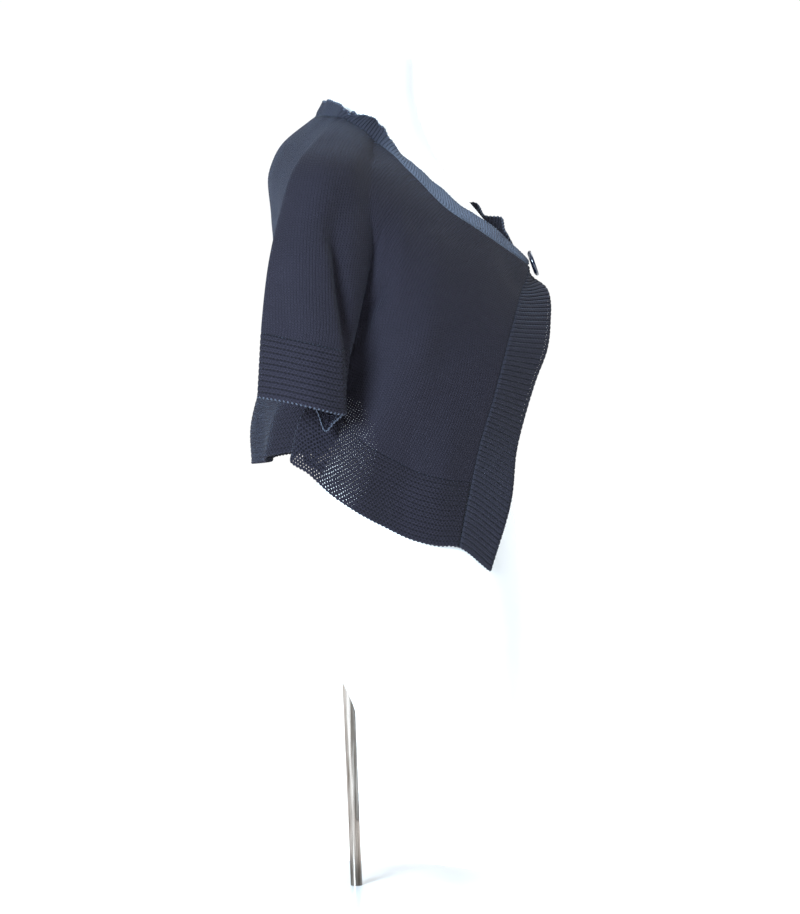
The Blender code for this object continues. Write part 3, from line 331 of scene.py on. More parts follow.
# ---------------------------------------------------------------- shape of the form
class FormShape:
    """The dress form's outline: its level sections and how far points lie from it."""

    slices = 8

    def __init__(self) -> None:
        """Smooth the table of sections from the bottom up."""
        rows = np.array(FORM_SECTIONS)
        tangent = np.gradient(rows, rows[:, 0], axis=0)
        mixed = []
        for row in range(len(rows) - 1):
            for share in np.linspace(0.0, 1.0, self.slices + 1)[:-1]:
                height = rows[row + 1, 0] - rows[row, 0]
                mix = ((2 * share**3 - 3 * share**2 + 1) * rows[row]
                       + (share**3 - 2 * share**2 + share) * height * tangent[row]
                       + (-2 * share**3 + 3 * share**2) * rows[row + 1]
                       + (share**3 - share**2) * height * tangent[row + 1])
                mixed.append(mix)
        mixed.append(rows[-1])
        table = np.array(mixed[::-1])
        self.levels, self.sections = table[:, 0], table[:, 1:]

    def at(self, up: Union[float, np.ndarray]) -> List[np.ndarray]:
        """Return back, front, half width, widest line and fullnesses at heights."""
        return [np.interp(up, self.levels, self.sections[:, k]) for k in range(6)]

    def distance(self, points: np.ndarray) -> np.ndarray:
        """Return about how far points lie outside the form, level, in metres."""
        back, front, half, widest, full_front, full_back = self.at(points[:, 2] / MM)
        forward = -points[:, 1] / MM - widest
        out = np.abs(points[:, 0]) / MM
        ahead = forward > 0
        depth = np.where(ahead, front - widest, widest - back)
        full = np.where(ahead, full_front, full_back)
        ratio = ((out / half)**full + (np.abs(forward) / depth)**full)**(1.0 / full)
        ratio = np.maximum(ratio, 1e-6)
        return (1.0 - 1.0 / ratio) * np.hypot(out, forward) * MM

    def clear(self, points: np.ndarray, clearance: float) -> np.ndarray:
        """Return points moved out, where needed, to lie clear of the form.

        Args:
            points: any array of points whose last axis is x, y, z.
            clearance: the least distance in metres.

        Returns:
            The points in the same layout.
        """
        moved = points.reshape(-1, 3).copy()
        probe = 0.5 * MM
        for _ in range(6):
            level = self.distance(moved)
            close = level < 3.0 * clearance
            if not close.any():
                break
            near = moved[close]
            slope = np.column_stack([
                self.distance(near + axis * probe) - self.distance(near - axis * probe)
                for axis in np.eye(3)]) / (2.0 * probe)
            steep = np.maximum(np.linalg.norm(slope, axis=1), 0.2)
            short = np.maximum(clearance - level[close] / steep, 0.0)
            moved[close] = near + slope / steep[:, None] * short[:, None]
        return moved.reshape(points.shape)

    def ring(self, up: float, sides: int) -> np.ndarray:
        """Return one level outline of the form, in metres."""
        back, front, half, widest, full_front, full_back = [float(v) for v in self.at(up)]
        angle = 2.0 * math.pi * np.arange(sides) / sides
        cos, sin = np.cos(angle), np.sin(angle)
        full = np.where(sin > 0.0, full_front, full_back)
        depth = np.where(sin > 0.0, front - widest, widest - back)
        scale = (np.abs(cos)**full + np.abs(sin)**full)**(-1.0 / full)
        out, forward = half * cos * scale, widest + depth * sin * scale
        return np.column_stack((-out, -forward, np.full(sides, up))) * MM


# ---------------------------------------------------------------- the skin of the shrug
@dataclass(frozen=True)
class SkinSizes:
    """Sizes of the knitted skin, in millimetres."""

    clearance: float = 2.75
    course_pitch: float = 23.0
    upper_courses: int = 8
    body_courses: int = 6
    sleeve_courses: int = 2
    hem_height: float = 66.0
    cuff_height: float = 62.0
    hem_ridges: int = 13
    cuff_ridges: int = 11
    per_course: int = 6
    per_column: int = 5
    per_ridge: int = 6
    coarse_band_rows: int = 20
    join_courses: float = 1.5
    lap_lift: float = 6.2
    lap_near: float = 22.0
    lap_far: float = 75.0


HEM_HEIGHT_AT = {"side": 58.0, "side_fold": 88.0, "front_6": 72.0}
LAP_DIRECTION = (0.0, -0.92, 0.39)
CLOSURE = (175.0, 655.0, 0.0)


class Skin:
    """The fine surface of the whole shrug, in the middle of its wall."""

    def __init__(self, shape: FormShape, sizes: SkinSizes) -> None:
        """Build the grids of the yoke, the body and the two sleeves."""
        self.shape, self.sizes = shape, sizes
        self.fine = sizes.per_column
        self._build()
        self._crease()
        grids = [self.yoke, self.body, self.sleeve, self.left_sleeve]
        normals = self.shared_normals(grids)
        self.yoke_n, self.body_n, self.sleeve_n, self.left_n = normals

    @staticmethod
    def wale_runs(name: str) -> Tuple[np.ndarray, np.ndarray]:
        """Return the smooth upper and lower run of one wale."""
        upper, lower = WALES[name]
        keys = [to_space(*point) for point in upper + lower]
        steps = 10
        run = curve_through(keys, [steps] * (len(keys) - 1))
        bust = max(len(upper) - 1, 0) * steps
        return run[:bust + 1], run[bust:]

    @staticmethod
    def lower_rows(run: np.ndarray, panel_rows: int, height: float,
                   band_rows: int) -> np.ndarray:
        """Return even points down a lower run, close together in its edge band."""
        total = lengths_along(run)[-1]
        start = total - height * MM
        panel = np.linspace(0.0, start, panel_rows + 1)
        band = np.linspace(start, total, band_rows + 1)[1:]
        return points_at(run, np.concatenate((panel, band)))

    def _steps(self, keys: Dict[str, np.ndarray]) -> Dict[Tuple[str, str], int]:
        """Return how many coarse columns lie between neighbouring wales."""
        orders = {"yoke": YOKE_ORDER, "body": BODY_ORDER, "sleeve": SLEEVE_ORDER}
        steps: Dict[Tuple[str, str], int] = {}
        for table, order in orders.items():
            rows = keys[table]
            for k, pair in enumerate(zip(order[:-1], order[1:])):
                widest = np.linalg.norm(rows[:, k + 1] - rows[:, k], axis=1).max()
                steps[pair] = max(1, math.ceil(widest / (self.sizes.course_pitch * MM)))
        twins = ((("side_fold", "raglan_front"), ("side_fold", "side")),
                 (("raglan_back", "back_1"), ("side", "back_1")),
                 (("raglan_front", "fold_ridge"), ("underarm", "fold_ridge")),
                 (("sleeve_inside", "raglan_back"), ("sleeve_inside", "underarm")))
        for pair, twin in twins:
            most = max(steps[pair], steps[twin])
            steps[pair] = steps[twin] = most
        return steps

    def _keys(self, per_course: int, hem_rows: int, cuff_rows: int) -> Dict[str, np.ndarray]:
        """Return the wales' points on the rows of the yoke, the body and the sleeve.

        Args:
            per_course: rows for each of the part's own courses.
            hem_rows: rows in the hem.
            cuff_rows: rows in the cuff.
        """
        s = self.sizes
        uppers = {n: self.wale_runs(n)[0] for n in YOKE_ORDER}
        lowers = {n: self.wale_runs(n)[1] for n in set(BODY_ORDER + SLEEVE_ORDER)}
        yoke = np.stack([points_at(uppers[n], np.linspace(0, lengths_along(uppers[n])[-1],
                                                          s.upper_courses * per_course + 1))
                         for n in YOKE_ORDER], axis=1)
        body = np.stack([self.lower_rows(lowers[n], s.body_courses * per_course,
                                         HEM_HEIGHT_AT.get(n, s.hem_height), hem_rows)
                         for n in BODY_ORDER], axis=1)
        sleeve = np.stack([self.lower_rows(lowers[n], s.sleeve_courses * per_course,
                                           s.cuff_height, cuff_rows)
                           for n in SLEEVE_ORDER], axis=1)
        return {"yoke": yoke, "body": body, "sleeve": sleeve}

    def _build(self) -> None:
        """Make the fine grids and join them at bust height."""
        s = self.sizes
        steps = self._steps(self._keys(1, s.coarse_band_rows, s.coarse_band_rows))
        keys = self._keys(s.per_course, s.hem_ridges * s.per_ridge,
                          s.cuff_ridges * s.per_ridge)
        self.yoke_rows = s.upper_courses * s.per_course
        self.body_rows = s.body_courses * s.per_course
        self.sleeve_rows = s.sleeve_courses * s.per_course

        def spans(order: Sequence[str]) -> List[int]:
            """Return how many fine columns lie between neighbouring wales."""
            return [steps[pair] * s.per_column for pair in zip(order[:-1], order[1:])]

        def columns(order: Sequence[str]) -> Dict[str, int]:
            """Return each wale's column."""
            places = np.concatenate(([0], np.cumsum(spans(order))))
            return {name: int(place) for name, place in zip(order, places)}

        def both_sides(rows: np.ndarray, order: Sequence[str]) -> np.ndarray:
            """Return smooth rows that run over the right half and on over the left."""
            half = spans(order)
            return np.stack([curve_through(np.vstack((row, mirrored(row[-2::-1]))),
                                           half + half[::-1]) for row in rows])

        clearance = s.clearance * MM
        yoke = self.shape.clear(both_sides(keys["yoke"], YOKE_ORDER), clearance)
        body = self.shape.clear(both_sides(keys["body"], BODY_ORDER), clearance)
        sleeve = np.stack([curve_through(row, spans(SLEEVE_ORDER), closed=True)
                           for row in keys["sleeve"]])
        self.yoke_at, self.body_at = columns(YOKE_ORDER), columns(BODY_ORDER)
        self.sleeve_at = columns(SLEEVE_ORDER[:-1])
        self.sleeve_at["end"] = sleeve.shape[1] - 1
        last, width = yoke[-1], yoke.shape[1]
        front, nape, side = (self.yoke_at["raglan_front"], self.yoke_at["raglan_back"],
                             self.body_at["side"])
        first = body[0].copy()
        first[:side + 1] = last[:front + 1]
        first[side:len(first) - side] = last[nape:width - nape]
        first[len(first) - side - 1:] = last[width - front - 1:]
        fade = 1.0 - smooth(np.arange(self.body_rows + 1) / (s.join_courses * s.per_course))
        body[:len(fade)] += (first - body[0])[None] * fade[:, None, None]
        fade = 1.0 - smooth(np.arange(self.sleeve_rows + 1) / (s.join_courses * s.per_course))
        sleeve[:len(fade)] += (last[front:nape + 1] - sleeve[0])[None] * fade[:, None, None]
        middle, body_middle = self.yoke_at["centre_back"], self.body_at["centre_back"]
        yoke[:, :middle] = self._lap(yoke[:, :middle])
        body[:, :body_middle] = self._lap(body[:, :body_middle])
        self.yoke, self.body, self.sleeve = yoke, body, sleeve
        self.left_sleeve = mirrored(sleeve)[:, ::-1].copy()

    def _lap(self, points: np.ndarray) -> np.ndarray:
        """Return points of the right front lifted over the left near the closure."""
        s = self.sizes
        away = np.linalg.norm(points - to_space(*CLOSURE), axis=-1) / MM
        share = smooth((s.lap_far - away) / (s.lap_far - s.lap_near))
        return points + share[..., None] * np.array(LAP_DIRECTION) * s.lap_lift * MM

    def _crease(self) -> None:
        """Press the creases into the skin and keep it clear of the form."""
        grids = [self.yoke, self.body, self.sleeve, self.left_sleeve]
        normals = self.shared_normals(grids)
        clearance = self.sizes.clearance * MM
        for grid, normal in zip(grids, normals):
            lift = np.zeros(grid.shape[:2])
            for crease in CREASES:
                lift += self._crease_height(crease, grid)
            grid[...] = self.shape.clear(grid + normal * lift[..., None], clearance)

    @staticmethod
    def _crease_height(crease: Crease, grid: np.ndarray) -> np.ndarray:
        """Return a crease's height in metres at the points of a grid."""
        run = curve_through([to_space(*p) for p in crease.points],
                            [8] * (len(crease.points) - 1))
        share = np.linspace(0.0, 1.0, len(run))
        taper = np.sin(math.pi * (0.06 + 0.88 * share))**0.7
        low, high = run.min(axis=0), run.max(axis=0)
        margin = 3.0 * crease.width * MM
        near = np.all((grid > low - margin) & (grid < high + margin), axis=-1)
        height = np.zeros(grid.shape[:2])
        if near.any():
            gaps = np.linalg.norm(grid[near][:, None] - run[None], axis=2)
            best = gaps.argmin(axis=1)
            gap = gaps[np.arange(len(best)), best] / (crease.width * MM)
            height[near] = np.exp(-gap * gap) * taper[best] * crease.height * MM
        return height

    @staticmethod
    def shared_normals(grids: Sequence[np.ndarray]) -> List[np.ndarray]:
        """Return the normals of several grids, averaged where their points coincide."""
        points = np.vstack([grid.reshape(-1, 3) for grid in grids])
        _, spot = np.unique(np.round(points, 6), axis=0, return_inverse=True)
        spot = spot.reshape(-1)
        total = np.zeros((spot.max() + 1, 3))
        start = 0
        for grid in grids:
            rows, cols = grid.shape[:2]
            index = spot[start:start + rows * cols].reshape(rows, cols)
            across = grid[:-1, 1:] - grid[1:, :-1]
            down = grid[1:, 1:] - grid[:-1, :-1]
            face = np.cross(across, down).reshape(-1, 3)
            for corner in (index[:-1, :-1], index[1:, :-1], index[:-1, 1:], index[1:, 1:]):
                np.add.at(total, corner.reshape(-1), face)
            start += rows * cols
        normals = unit(total)[spot]
        result, start = [], 0
        for grid in grids:
            count = grid.shape[0] * grid.shape[1]
            result.append(normals[start:start + count].reshape(grid.shape))
            start += count
        return result


# ---------------------------------------------------------------- stitch coordinates
def corners_of(values: np.ndarray) -> np.ndarray:
    """Return a grid's values at the four corners of each of its quads."""
    return np.stack((values[:-1, :-1], values[:-1, 1:], values[1:, 1:], values[1:, :-1]),
                    axis=-1)


def drift_down(grid: np.ndarray, column: int) -> np.ndarray:
    """Return how far each step down a column moves along the courses, added up."""
    down = np.diff(grid[:, column], axis=0)
    middle = 0.5 * (grid[:-1] + grid[1:])
    along = unit(np.gradient(middle, axis=1))[:, column]
    return np.concatenate(([0.0], np.cumsum((down * along).sum(axis=1))))


@dataclass
class StitchMap:
    """Stitch and course numbers at the four corners of each quad of a grid."""

    u: np.ndarray
    v: np.ndarray

    @classmethod
    def stockinette(cls, grid: np.ndarray, middle: int, split: int, width: float,
                    height: float) -> "StitchMap":
        """Return the map of a panel whose wales run square to its courses.

        Args:
            grid: the panel's points.
            middle: the column from which stitches are counted to both sides.
            split: courses count down from the top to this row, and up from the bottom.
            width: a stitch's width in metres.
            height: a course's height in metres.
        """
        across = np.linalg.norm(np.diff(grid, axis=1), axis=2)
        along = np.hstack((np.zeros((len(grid), 1)), np.cumsum(across, axis=1)))
        along += (drift_down(grid, middle) - along[:, middle])[:, None]
        down = np.linalg.norm(np.diff(grid, axis=0), axis=2)
        fall = np.vstack((np.zeros((1, grid.shape[1])), np.cumsum(down, axis=0)))
        upper = corners_of(fall[:split + 1])
        lower = corners_of(fall[split:] - fall[-1])
        return cls(corners_of(along) / width, np.concatenate((upper, lower)) / height)

    @classmethod
    def garter(cls, grid: np.ndarray, per_ridge: int, width: float) -> "StitchMap":
        """Return the map of a garter piece with a ridge every few rows."""
        across = np.linalg.norm(np.diff(grid, axis=1), axis=2)
        along = np.concatenate(([0.0], np.cumsum(across.mean(axis=0)))) / width
        rows, steps = grid.shape[0] - 1, grid.shape[1] - 1
        u = corners_of(np.broadcast_to(along, grid.shape[:2])).copy()
        row = (np.arange(rows) / per_ridge)[:, None]
        after = row + 1.0 / per_ridge
        v = np.stack([np.broadcast_to(x, (rows, steps)) for x in (row, row, after, after)],
                     axis=-1)
        return cls(u, v.copy())


# ---------------------------------------------------------------- meshes
class MeshMaker:
    """Gathers points and quads and makes one object of them."""

    def __init__(self) -> None:
        """Start empty."""
        self.points: List[np.ndarray] = []
        self.faces: List[np.ndarray] = []
        self.knit: List[np.ndarray] = []
        self.cloth: List[np.ndarray] = []
        self.normals: List[np.ndarray] = []
        self.count = 0

    def add(self, points: np.ndarray, faces: np.ndarray, knit: Optional[np.ndarray] = None,
            cloth: Optional[np.ndarray] = None, normals: Optional[np.ndarray] = None) -> None:
        """Add quads: knit has a vector per corner, cloth and normals one per point."""
        self.points.append(points)
        self.faces.append(faces + self.count)
        corners = faces.shape[0] * 4
        self.knit.append(np.zeros((corners, 3)) if knit is None else knit.reshape(-1, 3))
        self.cloth.append(np.zeros((len(points), 3)) if cloth is None else cloth)
        self.normals.append(np.zeros((len(points), 3)) if normals is None else normals)
        self.count += len(points)

    def build(self, name: str, material: bpy.types.Material,
              own_normals: bool = False) -> bpy.types.Object:
        """Return the finished object, linked to the scene."""
        points, faces = np.vstack(self.points), np.vstack(self.faces)
        mesh = bpy.data.meshes.new(name)
        mesh.vertices.add(len(points))
        mesh.vertices.foreach_set("co", points.astype(np.float32).ravel())
        mesh.loops.add(faces.size)
        mesh.loops.foreach_set("vertex_index", faces.astype(np.int32).ravel())
        mesh.polygons.add(len(faces))
        mesh.polygons.foreach_set("loop_start", np.arange(0, faces.size, 4, dtype=np.int32))
        mesh.update(calc_edges=True)
        for label, domain, rows in (("knit", "CORNER", self.knit), ("cloth", "POINT", self.cloth)):
            layer = mesh.attributes.new(label, "FLOAT_VECTOR", domain)
            layer.data.foreach_set("vector", np.vstack(rows).astype(np.float32).ravel())
        mesh.shade_smooth()
        if own_normals:
            mesh.normals_split_custom_set_from_vertices(np.vstack(self.normals).tolist())
        mesh.materials.append(material)
        made = bpy.data.objects.new(name, mesh)
        bpy.context.scene.collection.objects.link(made)
        return made


def grid_faces(rows: int, cols: int) -> np.ndarray:
    """Return the quads of a grid, each from its upper left corner along its row."""
    index = np.arange(rows * cols).reshape(rows, cols)
    return np.stack((index[:-1, :-1], index[:-1, 1:], index[1:, 1:], index[1:, :-1]),
                    axis=-1).reshape(-1, 4)


Seams = Tuple[Tuple[str, float], ...]
GROOVE_REACH = 2.6


@dataclass
class Piece:
    """One knitted piece: the middle of its wall and how its stitches lie on it."""

    name: str
    grid: np.ndarray
    normals: np.ndarray
    stitches: StitchMap
    stitch: Stitch
    relief: Optional[np.ndarray] = None
    seams: Seams = ()
    chains: Tuple[str, ...] = ()
    half: float = 1.0
    wave: float = 0.0
    # lit: share of the paler colour on the bound-off loops, a painted highlight
    lit: float = 0.0
    # pale: share of the paler yarn colour mixed in; on the neck band it is painted light, on the
    # front bands a slightly paler tone
    pale: Union[float, np.ndarray] = 0.0
    chain_reach: float = 0.6

    def edge(self, side: str) -> Tuple[np.ndarray, np.ndarray]:
        """Return the points and normals of one side of the grid."""
        pick = {"top": np.s_[0], "bottom": np.s_[-1], "first": np.s_[:, 0],
                "last": np.s_[:, -1]}[side]
        return self.grid[pick], self.normals[pick]

    def groove(self) -> np.ndarray:
        """Return how deep each grid point lies in the grooves of the listed seams."""
        deep = np.zeros(self.grid.shape[:2])
        for side, strength in self.seams:
            run, _ = self.edge(side)
            if side in ("top", "bottom"):
                gap = np.linalg.norm(self.grid - run[None], axis=2)
            else:
                gap = np.linalg.norm(self.grid - run[:, None], axis=2)
            deep = np.maximum(deep, strength * (1.0 - smooth(gap / (GROOVE_REACH * MM))))
        return deep


@dataclass(frozen=True)
class LooseStitches:
    """Where stitches are pulled open, in millimetres, and how far, from 0 to 1.

    They are open in an oval low on each side, where the cloth hangs loose, and in one row
    along the free edge of a front band.
    """

    forward: float = -32.0
    lean: float = 0.3
    pivot: float = 440.0
    up: float = 442.0
    half_length: float = 56.0
    half_height: float = 88.0
    reach: float = 1.06
    fade: float = 0.8
    least_out: float = 132.0
    row_place: float = 3.6
    row_half: float = 2.4
    row_share: float = 0.62
    row_low: float = 470.0
    row_low_fade: float = 40.0
    row_high: float = 640.0
    row_high_fade: float = 30.0

    def on(self, piece: Piece) -> np.ndarray:
        """Return how far open the stitches at a piece's points are."""
        points = piece.grid
        forward, up = -points[..., 1] / MM, points[..., 2] / MM
        if piece.name.endswith("band"):
            run, _ = piece.edge(piece.chains[0])
            gap = np.linalg.norm(points - run[:, None], axis=2) / MM
            row = smooth(1.0 - np.abs(gap - self.row_place) / self.row_half)
            share = (self.row_share * row * smooth((up - self.row_low) / self.row_low_fade)
                     * smooth((self.row_high - up) / self.row_high_fade))
        else:
            ahead = forward - self.forward - self.lean * (up - self.pivot)
            away = np.hypot(ahead / self.half_length, (up - self.up) / self.half_height)
            out = np.abs(points[..., 0]) / MM
            share = smooth((self.reach - away) / self.fade) * (out > self.least_out)
        return share.reshape(-1)


class ClothMaker:
    """Turns knitted pieces into thin closed shells with bound-off edges."""

    groove_depth = 0.4
    inner_relief = 0.7
    inner_groove = 0.4
    chain_radius = 1.0
    chain_swell = 0.62
    chain_loop = 4.4
    chain_sides = 6
    chain_steps = 6
    chain_end = 0.25

    def __init__(self, materials: Dict[Stitch, bpy.types.Material]) -> None:
        """Keep the finishes of the two fabrics."""
        self.materials = materials
        self.loose = LooseStitches()

    def make(self, piece: Piece) -> bpy.types.Object:
        """Return the object of one piece."""
        grid, normals = piece.grid, piece.normals
        rows, cols = grid.shape[:2]
        groove = piece.groove()
        sink = self.groove_depth * MM * groove
        raised = np.zeros((rows, cols)) if piece.relief is None else piece.relief * MM
        half = piece.half * MM
        outer = grid + normals * (half + raised - sink)[..., None]
        behind = half + self.inner_relief * raised - self.inner_groove * sink
        inner = grid - normals * behind[..., None]
        points = np.vstack((outer.reshape(-1, 3), inner.reshape(-1, 3)))
        base = rows * cols
        open_share = self.loose.on(piece)
        # the pale share goes in as a negative (painted light on the neck band); the inner wall is
        # marked as lining (1) where stitches are open
        pale_tone_and_painted_light = -np.broadcast_to(piece.pale, (rows, cols)).reshape(-1)
        cloth = np.zeros((len(points), 3))
        cloth[:base, 0] = cloth[base:, 0] = open_share
        cloth[:base, 1] = pale_tone_and_painted_light
        cloth[base:, 1] = np.where(open_share > 0.1, 1.0, pale_tone_and_painted_light)
        cloth[:, 2] = np.tile(groove.reshape(-1), 2)
        knit = np.zeros((rows - 1, cols - 1, 4, 3))
        knit[..., 0], knit[..., 1] = piece.stitches.u, piece.stitches.v
        knit[..., 2] = piece.wave
        rims, rim_knit = self._rims(rows, cols, knit)
        knit = knit.reshape(-1, 4, 3)
        faces = grid_faces(rows, cols)
        flat_normals = normals.reshape(-1, 3)
        maker = MeshMaker()
        maker.add(points, np.vstack((faces, faces[:, ::-1] + base, rims)),
                  np.concatenate((knit, knit[:, ::-1], rim_knit)),
                  cloth, np.vstack((flat_normals, -flat_normals)))
        for side in piece.chains:
            self._chain(maker, piece, side)
        made = maker.build(f"knit_{piece.name}", self.materials[piece.stitch],
                           piece.stitch is Stitch.STOCKINETTE)
        LOG.info("%s: %d x %d, %d triangles", piece.name, rows, cols,
                 2 * len(made.data.polygons))
        return made

    @staticmethod
    def _rims(rows: int, cols: int, knit: np.ndarray) -> Tuple[np.ndarray, np.ndarray]:
        """Return the quads round the edge of a shell, and their stitch numbers."""
        index = np.arange(rows * cols).reshape(rows, cols)
        base = rows * cols
        sides = ((index[0], knit[0, :, 0], knit[0, :, 1], True),
                 (index[-1], knit[-1, :, 3], knit[-1, :, 2], False),
                 (index[:, 0], knit[:, 0, 0], knit[:, 0, 3], False),
                 (index[:, -1], knit[:, -1, 1], knit[:, -1, 2], True))
        faces, numbers = [], []
        for run, start, end, turned in sides:
            quad = np.stack((run[:-1], run[1:], run[1:] + base, run[:-1] + base), axis=-1)
            number = np.stack((start, end, end, start), axis=1)
            if turned:
                quad, number = quad[:, ::-1], number[:, ::-1]
            faces.append(quad)
            numbers.append(number)
        return np.vstack(faces), np.concatenate(numbers)

    def _chain(self, maker: MeshMaker, piece: Piece, side: str) -> None:
        """Add the bound-off loops along one free edge."""
        run, normals = piece.edge(side)
        inside = {"top": piece.grid[1], "bottom": piece.grid[-2],
                  "first": piece.grid[:, 1], "last": piece.grid[:, -2]}[side]
        out = unit(run - inside)
        centre = run - out * piece.chain_reach * MM
        along = lengths_along(centre)
        loops = max(1, round(along[-1] / (self.chain_loop * MM)))
        count = loops * self.chain_steps
        where = np.linspace(0.0, along[-1], count + 1)
        frame = np.column_stack((centre, normals, out))
        rows = np.column_stack([np.interp(where, along, frame[:, k]) for k in range(9)])
        centre, normal, out = rows[:, :3], unit(rows[:, 3:6]), unit(rows[:, 6:])
        phase = 2.0 * math.pi * np.arange(count + 1) / self.chain_steps
        radius = (self.chain_radius + self.chain_swell * np.cos(phase)) * MM
        radius[0] = radius[-1] = self.chain_end * MM
        angle = 2.0 * math.pi * np.arange(self.chain_sides) / self.chain_sides
        shape = (normal[:, None] * np.cos(angle)[None, :, None]
                 + out[:, None] * np.sin(angle)[None, :, None])
        points = centre[:, None] + shape * radius[:, None, None]
        sides = self.chain_sides
        index = np.arange((count + 1) * sides).reshape(count + 1, sides)
        after = np.roll(index, -1, axis=1)
        faces = np.stack((index[:-1], index[1:], after[1:], after[:-1]), axis=-1)
        ends = [index[0][[0, 1, 2, 3]], index[0][[3, 4, 5, 0]],
                index[-1][[3, 2, 1, 0]], index[-1][[0, 5, 4, 3]]]
        faces = np.vstack((faces.reshape(-1, 4), np.array(ends)))
        flat = points.reshape(-1, 3)
        turn = np.cross(points[1, 0] - points[0, 0], points[0, 1] - points[0, 0])
        if np.dot(turn, shape[0, 0]) > 0.0:
            faces = faces[:, ::-1]
        knit = np.zeros((len(faces), 4, 3))
        step = faces // sides
        knit[..., 0] = step / self.chain_steps
        knit[..., 1] = 0.5
        cloth = np.zeros((len(flat), 3))
        # painted highlight: the bound-off loops get the lit share of the paler colour
        cloth[:, 1] = -piece.lit
        maker.add(flat, faces, knit, cloth, shape.reshape(-1, 3))


class Shrug:
    """Every knitted piece, cut from the one skin."""

    stitch_width = 3.1
    loop_width = 3.9
    course_height = 2.6
    ridge_relief = 0.75
    band_ridge = 5.5
    collar_ridge = 3.7
    collar_rows = 7
    collar_relief = 0.55
    sewn_relief = 0.3
    rise_power = 1.3
    slant_power = 1.2
    sway_power = 1.5
    # painted light: the neck band is made paler all round, and much paler along a stretch of its
    # right side, where light falls on it
    collar_painted_light = 0.04
    painted_light_pale = 0.25
    painted_light_from = 130.0
    painted_light_to = 385.0
    painted_light_fade = 40.0

    def __init__(self, skin: Skin, maker: ClothMaker) -> None:
        """Keep the skin and the maker of cloth."""
        self.skin, self.maker = skin, maker
        self.pieces: Dict[str, bpy.types.Object] = {}

    def build(self) -> Dict[str, bpy.types.Object]:
        """Make all pieces and return them by node name."""
        for piece in (*self._panels(), *self._edge_bands(), *self._front_bands(),
                      self._collar()):
            self.pieces[piece.name] = self.maker.make(piece)
        return self.pieces

    def _panels(self) -> Iterable[Piece]:
        """Yield the stockinette panels."""
        skin = self.skin
        width, body_width = skin.yoke.shape[1], skin.body.shape[1]
        seam, arm, nape = (skin.yoke_at[n] for n in ("band_seam", "raglan_front",
                                                     "raglan_back"))
        body_seam, side = skin.body_at["band_seam"], skin.body_at["side"]

        def panel(name: str, first: int, last: int, middle: int, low: np.ndarray,
                  low_n: np.ndarray, depth: int, seams: Seams) -> Piece:
            """Return the panel between two columns of the yoke, with what hangs below."""
            grid = np.vstack((skin.yoke[:, first:last], low[1:depth + 1]))
            normals = np.vstack((skin.yoke_n[:, first:last], low_n[1:depth + 1]))
            stitches = StitchMap.stockinette(grid, middle - first, skin.yoke_rows,
                                             self.stitch_width * MM, self.course_height * MM)
            return Piece(name, grid, normals, stitches, Stitch.STOCKINETTE, seams=seams)

        depth = skin.body_rows
        calm, back, top = (skin.yoke_at[n] for n in ("front_4", "centre_back", "sleeve_1"))
        right = np.s_[:, body_seam:side + 1]
        left = np.s_[:, body_width - side - 1:body_width - body_seam]
        rear = np.s_[:, side:body_width - side]
        yield panel("right_front", seam, arm + 1, calm, skin.body[right], skin.body_n[right],
                    depth, (("top", 1.0), ("first", 0.5)))
        yield panel("left_front", width - arm - 1, width - seam, width - 1 - calm,
                    skin.body[left], skin.body_n[left], depth, (("top", 1.0), ("last", 0.5)))
        yield panel("back", nape, width - nape, back, skin.body[rear], skin.body_n[rear],
                    depth, (("top", 1.0),))
        arms = (("top", 1.0), ("bottom", 0.4))
        yield panel("right_sleeve", arm, nape + 1, top, skin.sleeve, skin.sleeve_n,
                    skin.sleeve_rows, arms)
        yield panel("left_sleeve", width - nape - 1, width - arm, width - 1 - top,
                    skin.left_sleeve, skin.left_n, skin.sleeve_rows, arms)

    def _relief(self, ridge: np.ndarray) -> np.ndarray:
        """Return the height in millimetres of garter ridges at ridge numbers."""
        return self.ridge_relief * np.abs(np.sin(math.pi * ridge))**0.6

    def _garter(self, name: str, grid: np.ndarray, normals: np.ndarray,
                seams: Seams, chains: Tuple[str, ...], wave: float,
                lit: float = 0.0, pale: float = 0.0) -> Piece:
        """Return a garter piece whose ridges follow the rows of its grid."""
        per_ridge = self.skin.sizes.per_ridge
        stitches = StitchMap.garter(grid, per_ridge, self.loop_width * MM)
        ridge = np.arange(grid.shape[0]) / per_ridge
        relief = np.repeat(self._relief(ridge)[:, None], grid.shape[1], axis=1)
        return Piece(name, grid, normals, stitches, Stitch.GARTER, relief * (1.0 - 0.6 * wave),
                     seams, chains, half=0.85, wave=wave, lit=lit, pale=pale)

    def _edge_bands(self) -> Iterable[Piece]:
        """Yield the hems and cuffs."""
        skin = self.skin
        body_width = skin.body.shape[1]
        seam, side = skin.body_at["band_seam"], skin.body_at["side"]
        for name, first, last, seams in (
                ("right_hem", seam, side, (("top", 0.3), ("first", 0.7))),
                ("back_hem", side, body_width - 1 - side, (("top", 0.3),)),
                ("left_hem", body_width - 1 - side, body_width - 1 - seam,
                 (("top", 0.3), ("last", 0.7)))):
            grid = skin.body[skin.body_rows:, first:last + 1]
            normals = skin.body_n[skin.body_rows:, first:last + 1]
            yield self._garter(name, grid, normals, seams, ("bottom",), 0.9)
        # the cuffs' bound-off loops get a painted highlight (lit 0.17)
        yield self._garter("right_cuff", skin.sleeve[skin.sleeve_rows:],
                           skin.sleeve_n[skin.sleeve_rows:], (("top", 0.5),),
                           ("bottom",), 0.62, 0.17)
        yield self._garter("left_cuff", skin.left_sleeve[skin.sleeve_rows:],
                           skin.left_n[skin.sleeve_rows:], (("top", 0.5),),
                           ("bottom",), 0.62, 0.17)

